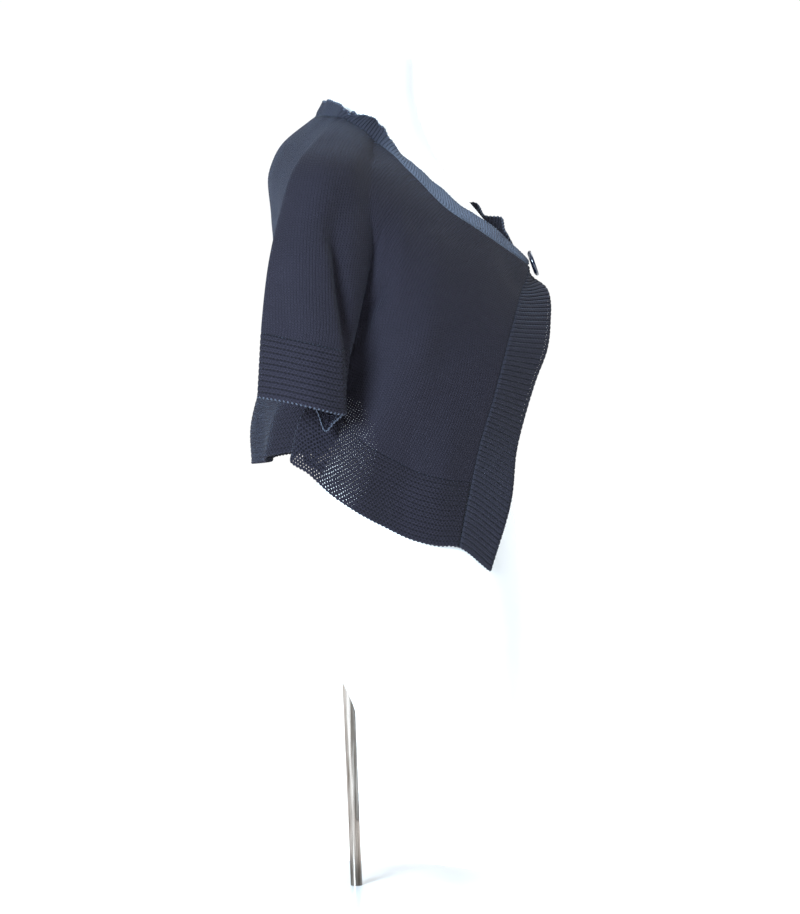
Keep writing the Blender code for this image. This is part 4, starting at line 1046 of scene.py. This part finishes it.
    def _front_bands(self) -> Iterable[Piece]:
        """Yield the two front bands, whose ridges run across them."""
        skin = self.skin
        width, body_width = skin.yoke.shape[1], skin.body.shape[1]
        seam, body_seam = skin.yoke_at["band_seam"], skin.body_at["band_seam"]
        for name, top, low, free, sewn in (
                ("right_band", slice(0, seam + 1), slice(0, body_seam + 1), "first", "last"),
                ("left_band", slice(width - seam - 1, width),
                 slice(body_width - body_seam - 1, body_width), "last", "first")):
            grid = np.vstack((skin.yoke[:, top], skin.body[1:, low]))
            normals = np.vstack((skin.yoke_n[:, top], skin.body_n[1:, low]))
            column = grid[:, grid.shape[1] // 2]
            along = lengths_along(column)
            ridges = round(along[-1] / (self.band_ridge * MM))
            places = np.interp(np.linspace(0.0, along[-1], ridges * skin.sizes.per_ridge + 1),
                               along, np.arange(len(along)))
            yield self._garter(name, rows_between(grid, places),
                               unit(rows_between(normals, places)),
                               (("top", 0.8), (sewn, 0.5)), (free, "bottom"), 0.25, pale=0.02)

    def _collar(self) -> Piece:
        """Return the ruffled neck band, whose ridges run from its seam to its edge."""
        skin, fine = self.skin, self.skin.fine
        seam, seam_n = skin.yoke[0], skin.yoke_n[0]
        coarse = seam[::fine]
        middle = skin.yoke_at["centre_back"] // fine
        at = [skin.yoke_at[row[0]] // fine for row in COLLAR_LEAN]
        places = np.arange(middle + 1)
        lean = [np.interp(places, at, [row[k] for row in COLLAR_LEAN]) for k in range(1, 5)]
        right = np.column_stack((-lean[2], -lean[0], lean[1])) * MM
        lean_rows = np.vstack((right, mirrored(right[-2::-1])))
        dense = lengths_along(seam)
        ridges = round(dense[-1] / (self.collar_ridge * MM))
        count = ridges * skin.sizes.per_ridge
        where = np.interp(np.linspace(0.0, dense[-1], count + 1), dense, np.arange(len(seam)))
        run = rows_between(seam, where)
        run_n = unit(rows_between(seam_n, where))
        coarse_at = where / fine
        lean_at = rows_between(lean_rows, coarse_at)
        along = np.interp(coarse_at, np.arange(len(coarse)), lengths_along(coarse) / MM)
        centre = lengths_along(coarse)[middle] / MM
        tangent = unit(np.gradient(run, axis=0))
        outward = unit(np.cross(tangent, lean_at))
        apart = along - centre
        rise, sway = (np.where(apart < 0.0, eased(-apart, RIGHT_RUFFLE, k),
                               eased(apart, LEFT_RUFFLE, k)) * MM for k in (1, 2))
        slants = np.concatenate((-lean[3], lean[3][-2::-1]))
        slant = np.interp(coarse_at, np.arange(len(slants)), slants) * MM
        columns = []
        for row in range(self.collar_rows):
            part = row / (self.collar_rows - 1)
            lift = np.outer(rise * part**self.rise_power, (0.0, 0.0, 1.0))
            columns.append(run + lean_at * part + lift
                           + tangent * (slant * part**self.slant_power)[:, None]
                           - outward * (sway * part**self.sway_power)[:, None])
        grid = np.stack(columns, axis=1)
        clearance = skin.sizes.clearance * MM
        grid[:, 1:] = skin.shape.clear(grid[:, 1:], clearance)
        normals = Skin.shared_normals([grid[:, ::-1]])[0][:, ::-1].copy()
        blend = smooth(np.arange(self.collar_rows) / 2.0)[None, :, None]
        normals = unit(run_n[:, None] * (1.0 - blend) + normals * blend)
        ridge = np.arange(count + 1) / skin.sizes.per_ridge
        relief = np.repeat(self._relief(ridge)[:, None], self.collar_rows, axis=1)
        relief *= self.collar_relief
        relief[:, 0] *= self.sewn_relief
        # painted light: a paler stretch along the wearer's right side of the neck band
        pale = (self.painted_light_pale * smooth((-apart - self.painted_light_from) / self.painted_light_fade)
                * smooth((apart + self.painted_light_to) / self.painted_light_fade))
        pale = self.collar_painted_light + np.repeat(pale[:, None], self.collar_rows, axis=1)
        stitches = StitchMap.garter(grid, skin.sizes.per_ridge, self.loop_width * MM)
        return Piece("collar", grid[:, ::-1], normals[:, ::-1],
                     StitchMap(stitches.u[:, ::-1][..., [1, 0, 3, 2]],
                               stitches.v[:, ::-1][..., [1, 0, 3, 2]]),
                     Stitch.GARTER, relief[:, ::-1], (("last", 1.0),), ("first",),
                     half=0.85, wave=0.12, lit=0.25, pale=pale[:, ::-1])


# ---------------------------------------------------------------- finishes
Input = Union["Value", float, int]


class Value:
    """A number in a shader, with arithmetic on it."""

    def __init__(self, graph: "Graph", socket: bpy.types.NodeSocket) -> None:
        """Wrap an output socket of a graph."""
        self.graph, self.socket = graph, socket

    def _math(self, operation: str, *others: Input) -> "Value":
        """Return a Math node's result of this value and others."""
        return self.graph.math(operation, self, *others)

    def __add__(self, other: Input) -> "Value":
        """Return the sum."""
        return self._math("ADD", other)

    __radd__ = __add__

    def __sub__(self, other: Input) -> "Value":
        """Return the difference."""
        return self._math("SUBTRACT", other)

    def __rsub__(self, other: Input) -> "Value":
        """Return the reflected difference."""
        return self.graph.math("SUBTRACT", other, self)

    def __mul__(self, other: Input) -> "Value":
        """Return the product."""
        return self._math("MULTIPLY", other)

    __rmul__ = __mul__

    def __truediv__(self, other: Input) -> "Value":
        """Return the quotient."""
        return self._math("DIVIDE", other)

    def __pow__(self, other: Input) -> "Value":
        """Return the power."""
        return self._math("POWER", other)

    def __abs__(self) -> "Value":
        """Return the absolute value."""
        return self._math("ABSOLUTE")


class Graph:
    """A material's node tree, with one method for each kind of step."""

    def __init__(self, name: str) -> None:
        """Start a material with a Principled shader."""
        self.material = bpy.data.materials.new(name)
        self.material.use_nodes = True
        self.tree = self.material.node_tree
        self.shader = self.tree.nodes["Principled BSDF"]

    def node(self, kind: str, settings: Optional[dict] = None,
             inputs: Optional[dict] = None) -> bpy.types.Node:
        """Add a node of a kind, with its settings first and then its inputs."""
        made = self.tree.nodes.new(kind)
        for key, value in (settings or {}).items():
            setattr(made, key, value)
        for key, value in (inputs or {}).items():
            self.feed(made.inputs[key], value)
        return made

    def feed(self, socket: bpy.types.NodeSocket, value: object) -> None:
        """Link or set one input."""
        if isinstance(value, Value):
            self.tree.links.new(value.socket, socket)
        elif isinstance(value, bpy.types.NodeSocket):
            self.tree.links.new(value, socket)
        else:
            socket.default_value = value

    def math(self, operation: str, *values: Input, clamp: bool = False) -> Value:
        """Return the result of a Math node."""
        made = self.node("ShaderNodeMath", {"operation": operation, "use_clamp": clamp},
                         dict(enumerate(values)))
        return Value(self, made.outputs[0])

    def mix(self, factor: Input, first: object, second: object) -> bpy.types.NodeSocket:
        """Return a colour between two others."""
        made = self.node("ShaderNodeMix", {"data_type": "RGBA"},
                         {0: factor, 6: first, 7: second})
        return made.outputs[2]

    def step(self, value: Input, low: float, high: float) -> Value:
        """Return 0 below low and 1 above high, with a soft change between."""
        made = self.node("ShaderNodeMapRange", {"interpolation_type": "SMOOTHSTEP"},
                         {"Value": value, "From Min": low, "From Max": high})
        return Value(self, made.outputs[0])

    def attribute(self, name: str) -> Tuple[Value, Value, Value]:
        """Return the three parts of a mesh attribute."""
        found = self.node("ShaderNodeAttribute", {"attribute_name": name})
        parts = self.node("ShaderNodeSeparateXYZ", {}, {0: found.outputs["Vector"]})
        return tuple(Value(self, parts.outputs[k]) for k in range(3))

    def noise(self, scale: float, detail: float = 2.0, roughness: float = 0.5,
              stretch: Point = (1.0, 1.0, 1.0)) -> Value:
        """Return noise from 0 to 1 over the object's own space, in metres."""
        place = self.node("ShaderNodeTexCoord")
        spot = self.node("ShaderNodeVectorMath", {"operation": "MULTIPLY"},
                         {0: place.outputs["Object"], 1: stretch})
        made = self.node("ShaderNodeTexNoise", {}, {"Vector": spot.outputs[0],
                                                    "Scale": scale, "Detail": detail,
                                                    "Roughness": roughness})
        return Value(self, made.outputs[0])

    def bump(self, height: Input, distance: float, strength: float = 1.0) -> None:
        """Raise the surface by a height pattern."""
        made = self.node("ShaderNodeBump", {}, {"Height": height, "Distance": distance,
                                                "Strength": strength})
        self.feed(self.shader.inputs["Normal"], made.outputs["Normal"])

    def surface(self, **values: object) -> None:
        """Set the Principled shader's inputs by name, spaces written as underscores."""
        for key, value in values.items():
            self.feed(self.shader.inputs[key.replace("_", " ")], value)


class RoomGraph(Graph):
    """The node tree of the room's own light."""

    def __init__(self, name: str) -> None:
        """Start a world with a Background shader."""
        self.world = bpy.data.worlds.new(name)
        self.world.use_nodes = True
        self.tree = self.world.node_tree
        self.shader = self.tree.nodes["Background"]
        self.shader.inputs["Color"].default_value = (1.0, 1.0, 1.0, 1.0)


@dataclass(frozen=True)
class KnitFinish:
    """Matte navy cotton knit, in one of the two fabrics."""

    stitch: Stitch
    yarn: Colour = (0.0124, 0.0107, 0.0180, 1.0)
    # deep: painted shade in the hollows between loops and in the seam grooves
    deep: Colour = (0.0036, 0.0032, 0.0048, 1.0)
    # paler colour mixed in by the pale and lit shares: painted light on the neck band and on the
    # bound-off loops of the cuffs and neck band, a slightly paler tone on the front bands
    pale_tone_and_painted_light: Colour = (0.235, 0.280, 0.370, 1.0)
    sheen: Colour = (0.60, 0.72, 1.0, 1.0)
    sheen_weight: float = 0.07

    def material(self) -> bpy.types.Material:
        """Return the material."""
        graph = Graph(f"navy_{self.stitch.value}")
        u, v, wave = graph.attribute("knit")
        opened, inner, groove = graph.attribute("cloth")
        wobble = (graph.noise(160.0, 1.0) - 0.5) * (0.3 + 0.5 * opened)
        loose = opened * (1.35 * graph.noise(70.0, 3.0, 0.7) - 0.12)
        if self.stitch is Stitch.STOCKINETTE:
            height, gap = self._stockinette(graph, u + wobble, v + wobble)
        else:
            wave = wave * (0.5 + graph.noise(24.0, 1.0))
            height, gap = self._garter(graph, u + wobble, v + wobble * 0.4, wave)
        hole = 1.0 - graph.step(gap / graph.math("MAXIMUM", loose, 0.05), 0.8, 1.15)
        fuzz = graph.noise(2600.0, 2.0, 0.6)
        patch = graph.noise(16.0, 3.0, 0.55)
        relief = height * (1.0 - 0.6 * groove) + fuzz * 0.16
        # painted shade: the colour darkens toward the deep colour in the low parts of each stitch
        # and in the seam grooves
        shade = (0.1 + 0.9 * graph.step(height, -0.05, 0.95)) * (1.0 - 0.75 * groove)
        shade = shade * (0.84 + 0.32 * patch) * (0.84 + 0.32 * fuzz)
        colour = graph.mix(shade, self.deep, self.yarn)
        # painted light: the pale and lit shares mix the paler colour into the yarn
        lit = graph.math("MAXIMUM", 0.0 - inner, 0.0)
        colour = graph.mix(lit, colour, self.pale_tone_and_painted_light)
        graph.bump(relief, 0.0011)
        through = graph.step(loose, 0.06, 0.12) * hole
        lining = graph.math("GREATER_THAN", inner, 0.5)
        alpha = (1.0 - through) * (1.0 - lining)
        graph.surface(Base_Color=colour, Roughness=0.88, Alpha=alpha, IOR=1.45,
                      Specular_IOR_Level=0.22, Sheen_Weight=self.sheen_weight,
                      Sheen_Roughness=0.18, Sheen_Tint=self.sheen)
        return graph.material

    @staticmethod
    def _stockinette(graph: Graph, u: Value, v: Value) -> Tuple[Value, Value]:
        """Return the height and the gaps of plain knit: two slanting legs a stitch."""
        across = abs(graph.math("FRACT", u) - 0.5)
        rib = 1.0 - 0.48 * (across * 2.0)**2.4
        phase = graph.math("FRACT", v + across * 1.1)
        bead = graph.math("SINE", phase * math.pi)
        crotch = 1.0 - graph.step(across, 0.0, 0.16)
        height = graph.math("MAXIMUM", rib, 0.0) * (0.62 + 0.38 * bead) - crotch * 0.14
        odd = graph.math("FLOORED_MODULO", graph.math("FLOOR", u + 0.5), 2.0)
        row = graph.math("FRACT", v + odd * 0.5) - 0.5
        gap = ((0.5 - across) / 0.22)**2.0 + (row / 0.32)**2.0
        return height, gap

    @staticmethod
    def _garter(graph: Graph, u: Value, v: Value, wave: Value) -> Tuple[Value, Value]:
        """Return the height and the gaps of garter: two rows of arcs that interlock."""
        loop = graph.math("COSINE", u * (2.0 * math.pi))
        sway = loop * (0.03 + 0.12 * wave)
        upper = graph.math("COSINE", (v - 0.27 - sway) * (2.0 * math.pi))
        lower = graph.math("COSINE", (v - 0.73 + sway) * (2.0 * math.pi))
        arcs = graph.math("MAXIMUM", graph.math("MAXIMUM", upper, lower), 0.0)
        ridge = abs(graph.math("SINE", v * math.pi))**0.7
        height = arcs * (0.3 + 0.5 * wave) + ridge * (0.7 - 0.5 * wave)
        whole = abs(graph.math("FRACT", v + 0.5) - 0.5)
        half = abs(graph.math("FRACT", v) - 0.5)
        first = (1.0 - loop) / 0.42 + (whole / 0.15)**2.0
        second = (1.0 + loop) / 0.42 + (half / 0.15)**2.0
        return height, graph.math("MINIMUM", first, second)


@dataclass(frozen=True)
class PlainFinish:
    """A smooth finish: enamel, satin plastic, polished steel or gloss plastic."""

    name: str
    colour: Colour
    roughness: float
    metallic: float = 0.0
    coat: float = 0.0
    grain: float = 0.0
    # painted reflection: dark streaks along the polished rod, in place of the room's reflections
    painted_reflection_streak: Optional[Colour] = None

    def material(self) -> bpy.types.Material:
        """Return the material."""
        graph = Graph(self.name)
        mottle = graph.noise(35.0, 3.0)
        rough = self.roughness * (0.88 + 0.24 * mottle)
        dark = tuple(c * 0.94 for c in self.colour[:3]) + (1.0,)
        # painted reflection: stretched noise lays dark streaks along the rod
        if self.painted_reflection_streak is not None:
            dark = self.painted_reflection_streak
            mottle = graph.step(graph.noise(260.0, 3.0, 0.6, (1.0, 1.0, 0.04)), 0.3, 0.7)
        graph.surface(Base_Color=graph.mix(mottle, dark, self.colour), Roughness=rough,
                      Metallic=self.metallic, Coat_Weight=self.coat, Coat_Roughness=0.06)
        if self.grain:
            graph.bump(graph.noise(900.0, 2.0), self.grain * MM, 0.4)
        return graph.material


# ---------------------------------------------------------------- button, form and stand
def turned(maker: MeshMaker, profile: Sequence[Tuple[float, float]], sides: int,
           place: Matrix) -> None:
    """Add a shape turned about Z from (radius, height) points, set in place.

    Args:
        maker: gathers the quads.
        profile: radii and heights in millimetres, from the axis back to the axis.
        sides: how many sides it has.
        place: the shape's own frame.
    """
    tiny = 0.02
    rings = []
    for radius, height in profile:
        angle = 2.0 * math.pi * np.arange(sides) / sides
        radius = max(radius, tiny)
        rings.append(np.column_stack((radius * np.cos(angle), radius * np.sin(angle),
                                      np.full(sides, height))) * MM)
    points = np.vstack(rings)
    turn, shift = np.array(place.to_3x3()), np.array(place.translation)
    index = np.arange(len(points)).reshape(len(rings), sides)
    after = np.roll(index, -1, axis=1)
    faces = np.stack((index[:-1], after[:-1], after[1:], index[1:]), axis=-1)
    maker.add(points @ turn.T + shift, faces.reshape(-1, 4))


def carve(made: bpy.types.Object, tool: bpy.types.Object) -> None:
    """Cut a tool's shape out of an object and remove the tool."""
    cut = made.modifiers.new("cut", "BOOLEAN")
    cut.operation, cut.solver, cut.object = "DIFFERENCE", "EXACT", tool
    bpy.context.view_layer.update()
    shape = made.evaluated_get(bpy.context.evaluated_depsgraph_get())
    done = bpy.data.meshes.new_from_object(shape)
    made.modifiers.clear()
    made.data = done
    bpy.data.objects.remove(tool, do_unlink=True)


def hard_edges(made: bpy.types.Object, degrees: float = 40.0) -> None:
    """Keep edges sharper than an angle crisp."""
    made.data.set_sharp_from_angle(angle=math.radians(degrees))


@dataclass(frozen=True)
class ButtonSizes:
    """Sizes of the button in millimetres, and where it lies."""

    radius: float = 14.0
    back_radius: float = 11.5
    rim: float = 2.6
    thickness: float = 4.6
    dish: float = 1.6
    hole_radius: float = 1.2
    hole_circle: float = 3.4
    thread: float = 0.55
    strand_shift: float = 0.42
    stitch_depth: float = 1.6
    stitch_height: float = 0.7
    dish_sag: float = 0.58
    centre: Point = (-0.00258, -0.18294, 0.66180)
    facing: Point = (-0.06927, -0.94089, 0.33154)


class Button:
    """The one large round dished button, with its four holes and thread."""

    def __init__(self, sizes: ButtonSizes, gloss: bpy.types.Material,
                 thread: bpy.types.Material) -> None:
        """Keep sizes and finishes."""
        self.sizes, self.gloss, self.thread = sizes, gloss, thread

    def place(self) -> Matrix:
        """Return the button's own frame, from the middle of its back."""
        facing = Vector(self.sizes.facing).normalized()
        turn = Vector((0.0, 0.0, 1.0)).rotation_difference(facing).to_matrix().to_4x4()
        return Matrix.Translation(Vector(self.sizes.centre)) @ turn

    def build(self) -> List[bpy.types.Object]:
        """Return the button and its thread."""
        s, place = self.sizes, self.place()
        top, radius, inner = s.thickness, s.radius, s.radius - s.rim
        profile = ((0.0, 0.0), (s.back_radius - 0.6, 0.0), (s.back_radius, 0.15),
                   (radius - 0.4, 1.4), (radius - 0.08, 2.0), (radius, top * 0.6),
                   (radius - 0.12, top - 0.9), (radius - 0.5, top - 0.3),
                   (radius - 0.9, top - 0.07), (radius - 1.3, top), (radius - 1.9, top - 0.06),
                   (inner, top - 0.4), (inner - 0.8, top - 0.5 * (s.dish + 0.4)),
                   (inner - 1.6, top - s.dish), (inner - 3.2, top - s.dish - 0.3),
                   (inner * 0.5, top - s.dish - 0.5), (0.0, top - s.dish - 0.6))
        maker = MeshMaker()
        turned(maker, profile, 96, place)
        made = maker.build("shrug_button", self.gloss)
        self._drill(made, place)
        return [made, self._sew(place)]

    def _drill(self, made: bpy.types.Object, place: Matrix) -> None:
        """Cut the four holes."""
        s = self.sizes
        tools = MeshMaker()
        for corner in self._corners():
            spot = place @ Matrix.Translation(Vector(corner) * MM)
            turned(tools, ((0.0, -2.0), (s.hole_radius, -2.0), (s.hole_radius, 8.0),
                           (0.0, 8.0)), 20, spot)
        carve(made, tools.build("button_drill", self.gloss))
        hard_edges(made)

    def _corners(self) -> List[Point]:
        """Return the centres of the holes, in the button's frame."""
        angles = [math.radians(45.0 + 90.0 * k) for k in range(4)]
        r = self.sizes.hole_circle
        return [(r * math.cos(a), r * math.sin(a), 0.0) for a in angles]

    def _sew(self, place: Matrix) -> bpy.types.Object:
        """Return two bars of thread that run through the holes."""
        s = self.sizes
        corners = [np.array(c) for c in self._corners()]
        floor = s.thickness - s.dish - s.dish_sag
        maker = MeshMaker()
        for a, b in ((0, 3), (1, 2)):
            for shift in (-s.strand_shift, s.strand_shift):
                side = unit(np.cross(corners[b] - corners[a], (0.0, 0.0, 1.0))) * shift
                start, end = corners[a] + side, corners[b] + side
                run = []
                for share in np.linspace(0.0, 1.0, 17):
                    lift = 1.0 - abs(2.0 * share - 1.0)**4
                    height = floor - s.stitch_depth + (s.stitch_depth + s.stitch_height) * lift
                    run.append(start + (end - start) * share + (0.0, 0.0, height))
                self._strand(maker, np.array(run), place)
        return maker.build("button_thread", self.thread)

    def _strand(self, maker: MeshMaker, run: np.ndarray, place: Matrix) -> None:
        """Add one strand of thread along a run in the button's frame."""
        sides = 8
        tangent = unit(np.gradient(run, axis=0))
        side = unit(np.cross(tangent, (0.0, 0.3, 1.0)))
        up = np.cross(side, tangent)
        angle = 2.0 * math.pi * np.arange(sides) / sides
        radius = np.full(len(run), self.sizes.thread)
        radius[0] = radius[-1] = 0.05
        ring = (side[:, None] * np.cos(angle)[None, :, None]
                + up[:, None] * np.sin(angle)[None, :, None])
        points = (run[:, None] + ring * radius[:, None, None]).reshape(-1, 3) * MM
        turn, shift = np.array(place.to_3x3()), np.array(place.translation)
        index = np.arange(len(points)).reshape(len(run), sides)
        after = np.roll(index, -1, axis=1)
        faces = np.stack((index[:-1], after[:-1], after[1:], index[1:]), axis=-1)
        maker.add(points @ turn.T + shift, faces.reshape(-1, 4))


@dataclass(frozen=True)
class StandSizes:
    """Sizes of the rod and base in millimetres."""

    rod_radius: float = 6.2
    rod_top: float = 330.0
    rod_foot: float = 3.0
    rod_clearance: float = 0.35
    lean: float = math.radians(2.31)
    base_radius: float = 160.0
    base_thickness: float = 10.0
    base_edge: float = 2.5

    def place(self) -> Matrix:
        """Return the rod's own frame: its foot on the base, its axis leaning back."""
        return (Matrix.Translation(Vector((0.0, 0.0, self.base_thickness * MM)))
                @ Matrix.Rotation(-self.lean, 4, "X"))


class DressForm:
    """The smooth white limbless form, bored from below for its rod."""

    sides = 144
    pitch = 9.0

    def __init__(self, shape: FormShape, stand: StandSizes,
                 finish: bpy.types.Material) -> None:
        """Keep the outline, the rod's sizes and the finish."""
        self.shape, self.stand, self.finish = shape, stand, finish

    def levels(self) -> np.ndarray:
        """Return the heights of the form's rings, closer where it turns quickly."""
        result = []
        for upper, lower in zip(FORM_SECTIONS[:-1], FORM_SECTIONS[1:]):
            drop, widening = upper[0] - lower[0], lower[3] - upper[3]
            parts = max(2, round(math.hypot(drop, widening) / self.pitch))
            result += [upper[0] - drop * part / parts for part in range(parts)]
        return np.array(result + [FORM_SECTIONS[-1][0]])

    def build(self) -> bpy.types.Object:
        """Return the form."""
        s, sides = self.stand, self.sides
        rings = [self.shape.ring(up, sides) for up in self.levels()]
        top, bottom = rings[0], rings[-1]
        centre = top.mean(axis=0)
        caps = [centre + (top - centre) * k + (0.0, 0.0, drop * MM) for k, drop in
                ((0.02, -0.35), (0.5, -0.35), (0.9, -0.35), (0.955, -0.5), (0.985, -1.1))]
        top[:, 2] -= 3.0 * MM
        low = bottom.mean(axis=0)
        rows = caps + rings + [low + (bottom - low) * k for k in (0.6, 0.02)]
        points = np.vstack(rows)
        index = np.arange(len(points)).reshape(len(rows), sides)
        after = np.roll(index, -1, axis=1)
        faces = np.stack((index[:-1], index[1:], after[1:], after[:-1]), axis=-1)
        maker = MeshMaker()
        maker.add(points, faces.reshape(-1, 4))
        made = maker.build("dress_form", self.finish)
        bore = MeshMaker()
        radius = s.rod_radius + s.rod_clearance
        turned(bore, ((0.0, 0.0), (radius, 0.0), (radius, s.rod_top + s.rod_clearance),
                      (0.0, s.rod_top + s.rod_clearance)), 64, s.place())
        carve(made, bore.build("form_bore", self.finish))
        hard_edges(made, 50.0)
        return made


class Stand:
    """The bare steel rod and its round base."""

    def __init__(self, sizes: StandSizes, steel: bpy.types.Material,
                 enamel: bpy.types.Material) -> None:
        """Keep sizes and finishes."""
        self.sizes, self.steel, self.enamel = sizes, steel, enamel

    def build(self) -> List[bpy.types.Object]:
        """Return the rod and the base."""
        s = self.sizes
        place = s.place()
        foot = -(s.base_thickness - s.rod_foot)
        maker = MeshMaker()
        turned(maker, ((0.0, foot), (s.rod_radius - 0.5, foot), (s.rod_radius, foot + 0.5),
                       (s.rod_radius, s.rod_top - 0.8), (s.rod_radius - 0.8, s.rod_top),
                       (0.0, s.rod_top)), 64, place)
        rod = maker.build("stand_rod", self.steel)
        hard_edges(rod)
        edge = s.base_edge
        bend = [(s.base_radius - edge + edge * math.sin(a), s.base_thickness - edge
                 + edge * math.cos(a)) for a in np.linspace(math.pi / 2.0, 0.0, 7)]
        maker = MeshMaker()
        turned(maker, ((0.0, 0.0), (s.base_radius - 0.5, 0.0), (s.base_radius, 0.5), *bend,
                       (0.0, s.base_thickness)), 144, Matrix.Identity(4))
        base = maker.build("stand_base", self.enamel)
        hard_edges(base)
        return [rod, base]


# ---------------------------------------------------------------- studio
@dataclass(frozen=True)
class Lamp:
    """One soft light: where it is, what it faces, how big and how bright."""

    name: str
    place: Point
    target: Point
    size: float
    power: float
    colour: Tuple[float, float, float] = (1.0, 1.0, 1.0)


class Studio:
    """White room, soft lights and the camera."""

    lamps = (
        Lamp("key", (-2.45, 1.2, 1.1), (0.0, 0.0, 0.6), 1.0, 198.0, (0.66, 0.84, 1.0)),
        Lamp("window", (0.6, -1.2, 2.6), (0.0, -0.05, 0.7), 1.6, 55.0, (0.84, 0.93, 1.0)),
    )
    # toward, and where the dimming starts, where it is full, and the share it takes
    dim_sides = (
        ((-0.6, -0.8, 0.05), 0.12, 0.62, 1.0),
        ((0.08, 0.97, 0.22), 0.45, 0.85, 0.9),
    )
    room_strength = 1.02
    floor_reach = 6.0
    floor_drop = 0.0002
    floor_glow = 0.55
    lens = 97.53
    sensor = 36.0
    eye = (-2.6, -0.0457, 0.4594)

    def build(self) -> None:
        """Add the floor, world, lights and camera."""
        scene = bpy.context.scene
        scene.view_settings.view_transform = "Standard"
        scene.world = self._room()
        self._floor()
        for lamp in self.lamps:
            self._lamp(lamp)
        data = bpy.data.cameras.new("camera")
        data.lens, data.sensor_width = self.lens, self.sensor
        data.clip_start, data.clip_end = 0.05, 50.0
        camera = bpy.data.objects.new("camera", data)
        camera.location = self.eye
        camera.rotation_euler = (math.radians(90.0), 0.0, math.radians(-90.0))
        scene.collection.objects.link(camera)
        scene.camera = camera

    def _room(self) -> bpy.types.World:
        """Return a white room that sends less light from its dim sides."""
        graph = RoomGraph("white_room")
        place = graph.node("ShaderNodeTexCoord")
        light: Input = 1.0
        for toward, start, end, share in self.dim_sides:
            facing = graph.node("ShaderNodeVectorMath", {"operation": "DOT_PRODUCT"},
                                {0: place.outputs["Generated"], 1: toward})
            dim = graph.step(Value(graph, facing.outputs["Value"]), start, end)
            light = light * (1.0 - share * dim)
        path = graph.node("ShaderNodeLightPath")
        seen = Value(graph, path.outputs["Is Camera Ray"])
        graph.feed(graph.shader.inputs["Strength"],
                   self.room_strength * graph.math("MAXIMUM", seen, light))
        return graph.world

    def _floor(self) -> None:
        """Add the white floor, which isn't part of the object."""
        maker = MeshMaker()
        reach = self.floor_reach
        corners = np.array(((-reach, -reach, 0.0), (reach, -reach, 0.0),
                            (reach, reach, 0.0), (-reach, reach, 0.0)))
        maker.add(corners - (0.0, 0.0, self.floor_drop), np.array([[0, 1, 2, 3]]))
        graph = Graph("white_floor")
        graph.surface(Base_Color=(0.95, 0.95, 0.95, 1.0), Roughness=0.9,
                      Emission_Color=(1.0, 1.0, 1.0, 1.0), Emission_Strength=self.floor_glow)
        floor = maker.build("floor", graph.material)

    @staticmethod
    def _lamp(lamp: Lamp) -> None:
        """Add one area light."""
        data = bpy.data.lights.new(lamp.name, "AREA")
        data.shape, data.size = "DISK", lamp.size
        data.energy, data.color = lamp.power, lamp.colour
        made = bpy.data.objects.new(lamp.name, data)
        made.location = lamp.place
        aim = Vector(lamp.target) - Vector(lamp.place)
        made.rotation_mode = "QUATERNION"
        made.rotation_quaternion = aim.to_track_quat("-Z", "Y")
        bpy.context.scene.collection.objects.link(made)


# ---------------------------------------------------------------- the pieces' flat cuts, and the build
@dataclass(frozen=True)
class Cut:
    """A piece's flat cut in metres, and what it rests on."""

    node: str
    flat: Tuple[float, float]
    area: Optional[float] = None
    rests_on: Tuple[str, ...] = ("dress_form",)


CUTS = (
    Cut("right_front", (0.205, 0.310), 0.0507),
    Cut("left_front", (0.205, 0.310), 0.0505),
    Cut("back", (0.360, 0.350), 0.1008),
    Cut("right_sleeve", (0.215, 0.270), 0.0416),
    Cut("left_sleeve", (0.215, 0.270), 0.0416),
    Cut("right_hem", (0.235, 0.067)),
    Cut("left_hem", (0.235, 0.067)),
    Cut("back_hem", (0.360, 0.063)),
    Cut("right_cuff", (0.210, 0.062), None, ("knit_right_sleeve",)),
    Cut("left_cuff", (0.210, 0.062), None, ("knit_left_sleeve",)),
    Cut("right_band", (0.046, 0.375)),
    Cut("left_band", (0.046, 0.375)),
    Cut("collar", (0.760, 0.0175)),
)


def main() -> None:
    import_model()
    shape = FormShape()
    knits = {stitch: KnitFinish(stitch).material() for stitch in Stitch}
    shrug = Shrug(Skin(shape, SkinSizes()), ClothMaker(knits))
    for node, piece in shrug.build().items():
        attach(piece, "root")
        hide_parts(node)
    stand = StandSizes()
    satin = PlainFinish("white_satin", (0.86, 0.86, 0.85, 1.0), 0.42)
    steel = PlainFinish("polished_steel", (0.42, 0.37, 0.33, 1.0), 0.2, metallic=1.0,
                        painted_reflection_streak=(0.11, 0.085, 0.068, 1.0))
    enamel = PlainFinish("white_enamel", (0.86, 0.86, 0.86, 1.0), 0.35, coat=0.2)
    gloss = PlainFinish("navy_gloss", (0.010, 0.014, 0.030, 1.0), 0.14, coat=0.5)
    thread = PlainFinish("navy_thread", (0.014, 0.018, 0.034, 1.0), 0.8)
    form = DressForm(shape, stand, satin.material()).build()
    rod, base = Stand(stand, steel.material(), enamel.material()).build()
    button, sewing = Button(ButtonSizes(), gloss.material(), thread.material()).build()
    for piece, node, finish in ((form, "form", "form"), (rod, "pole", "rod"),
                                (base, "base", "base"), (button, "button", "button")):
        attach(piece, "root")
        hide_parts(node)
    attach(sewing, "root")
    for cut in CUTS:
        list(cut.rests_on)
    Studio().build()


if __name__ == "__main__":
    logging.basicConfig(level=logging.INFO, format="%(name)s %(message)s")
    main()
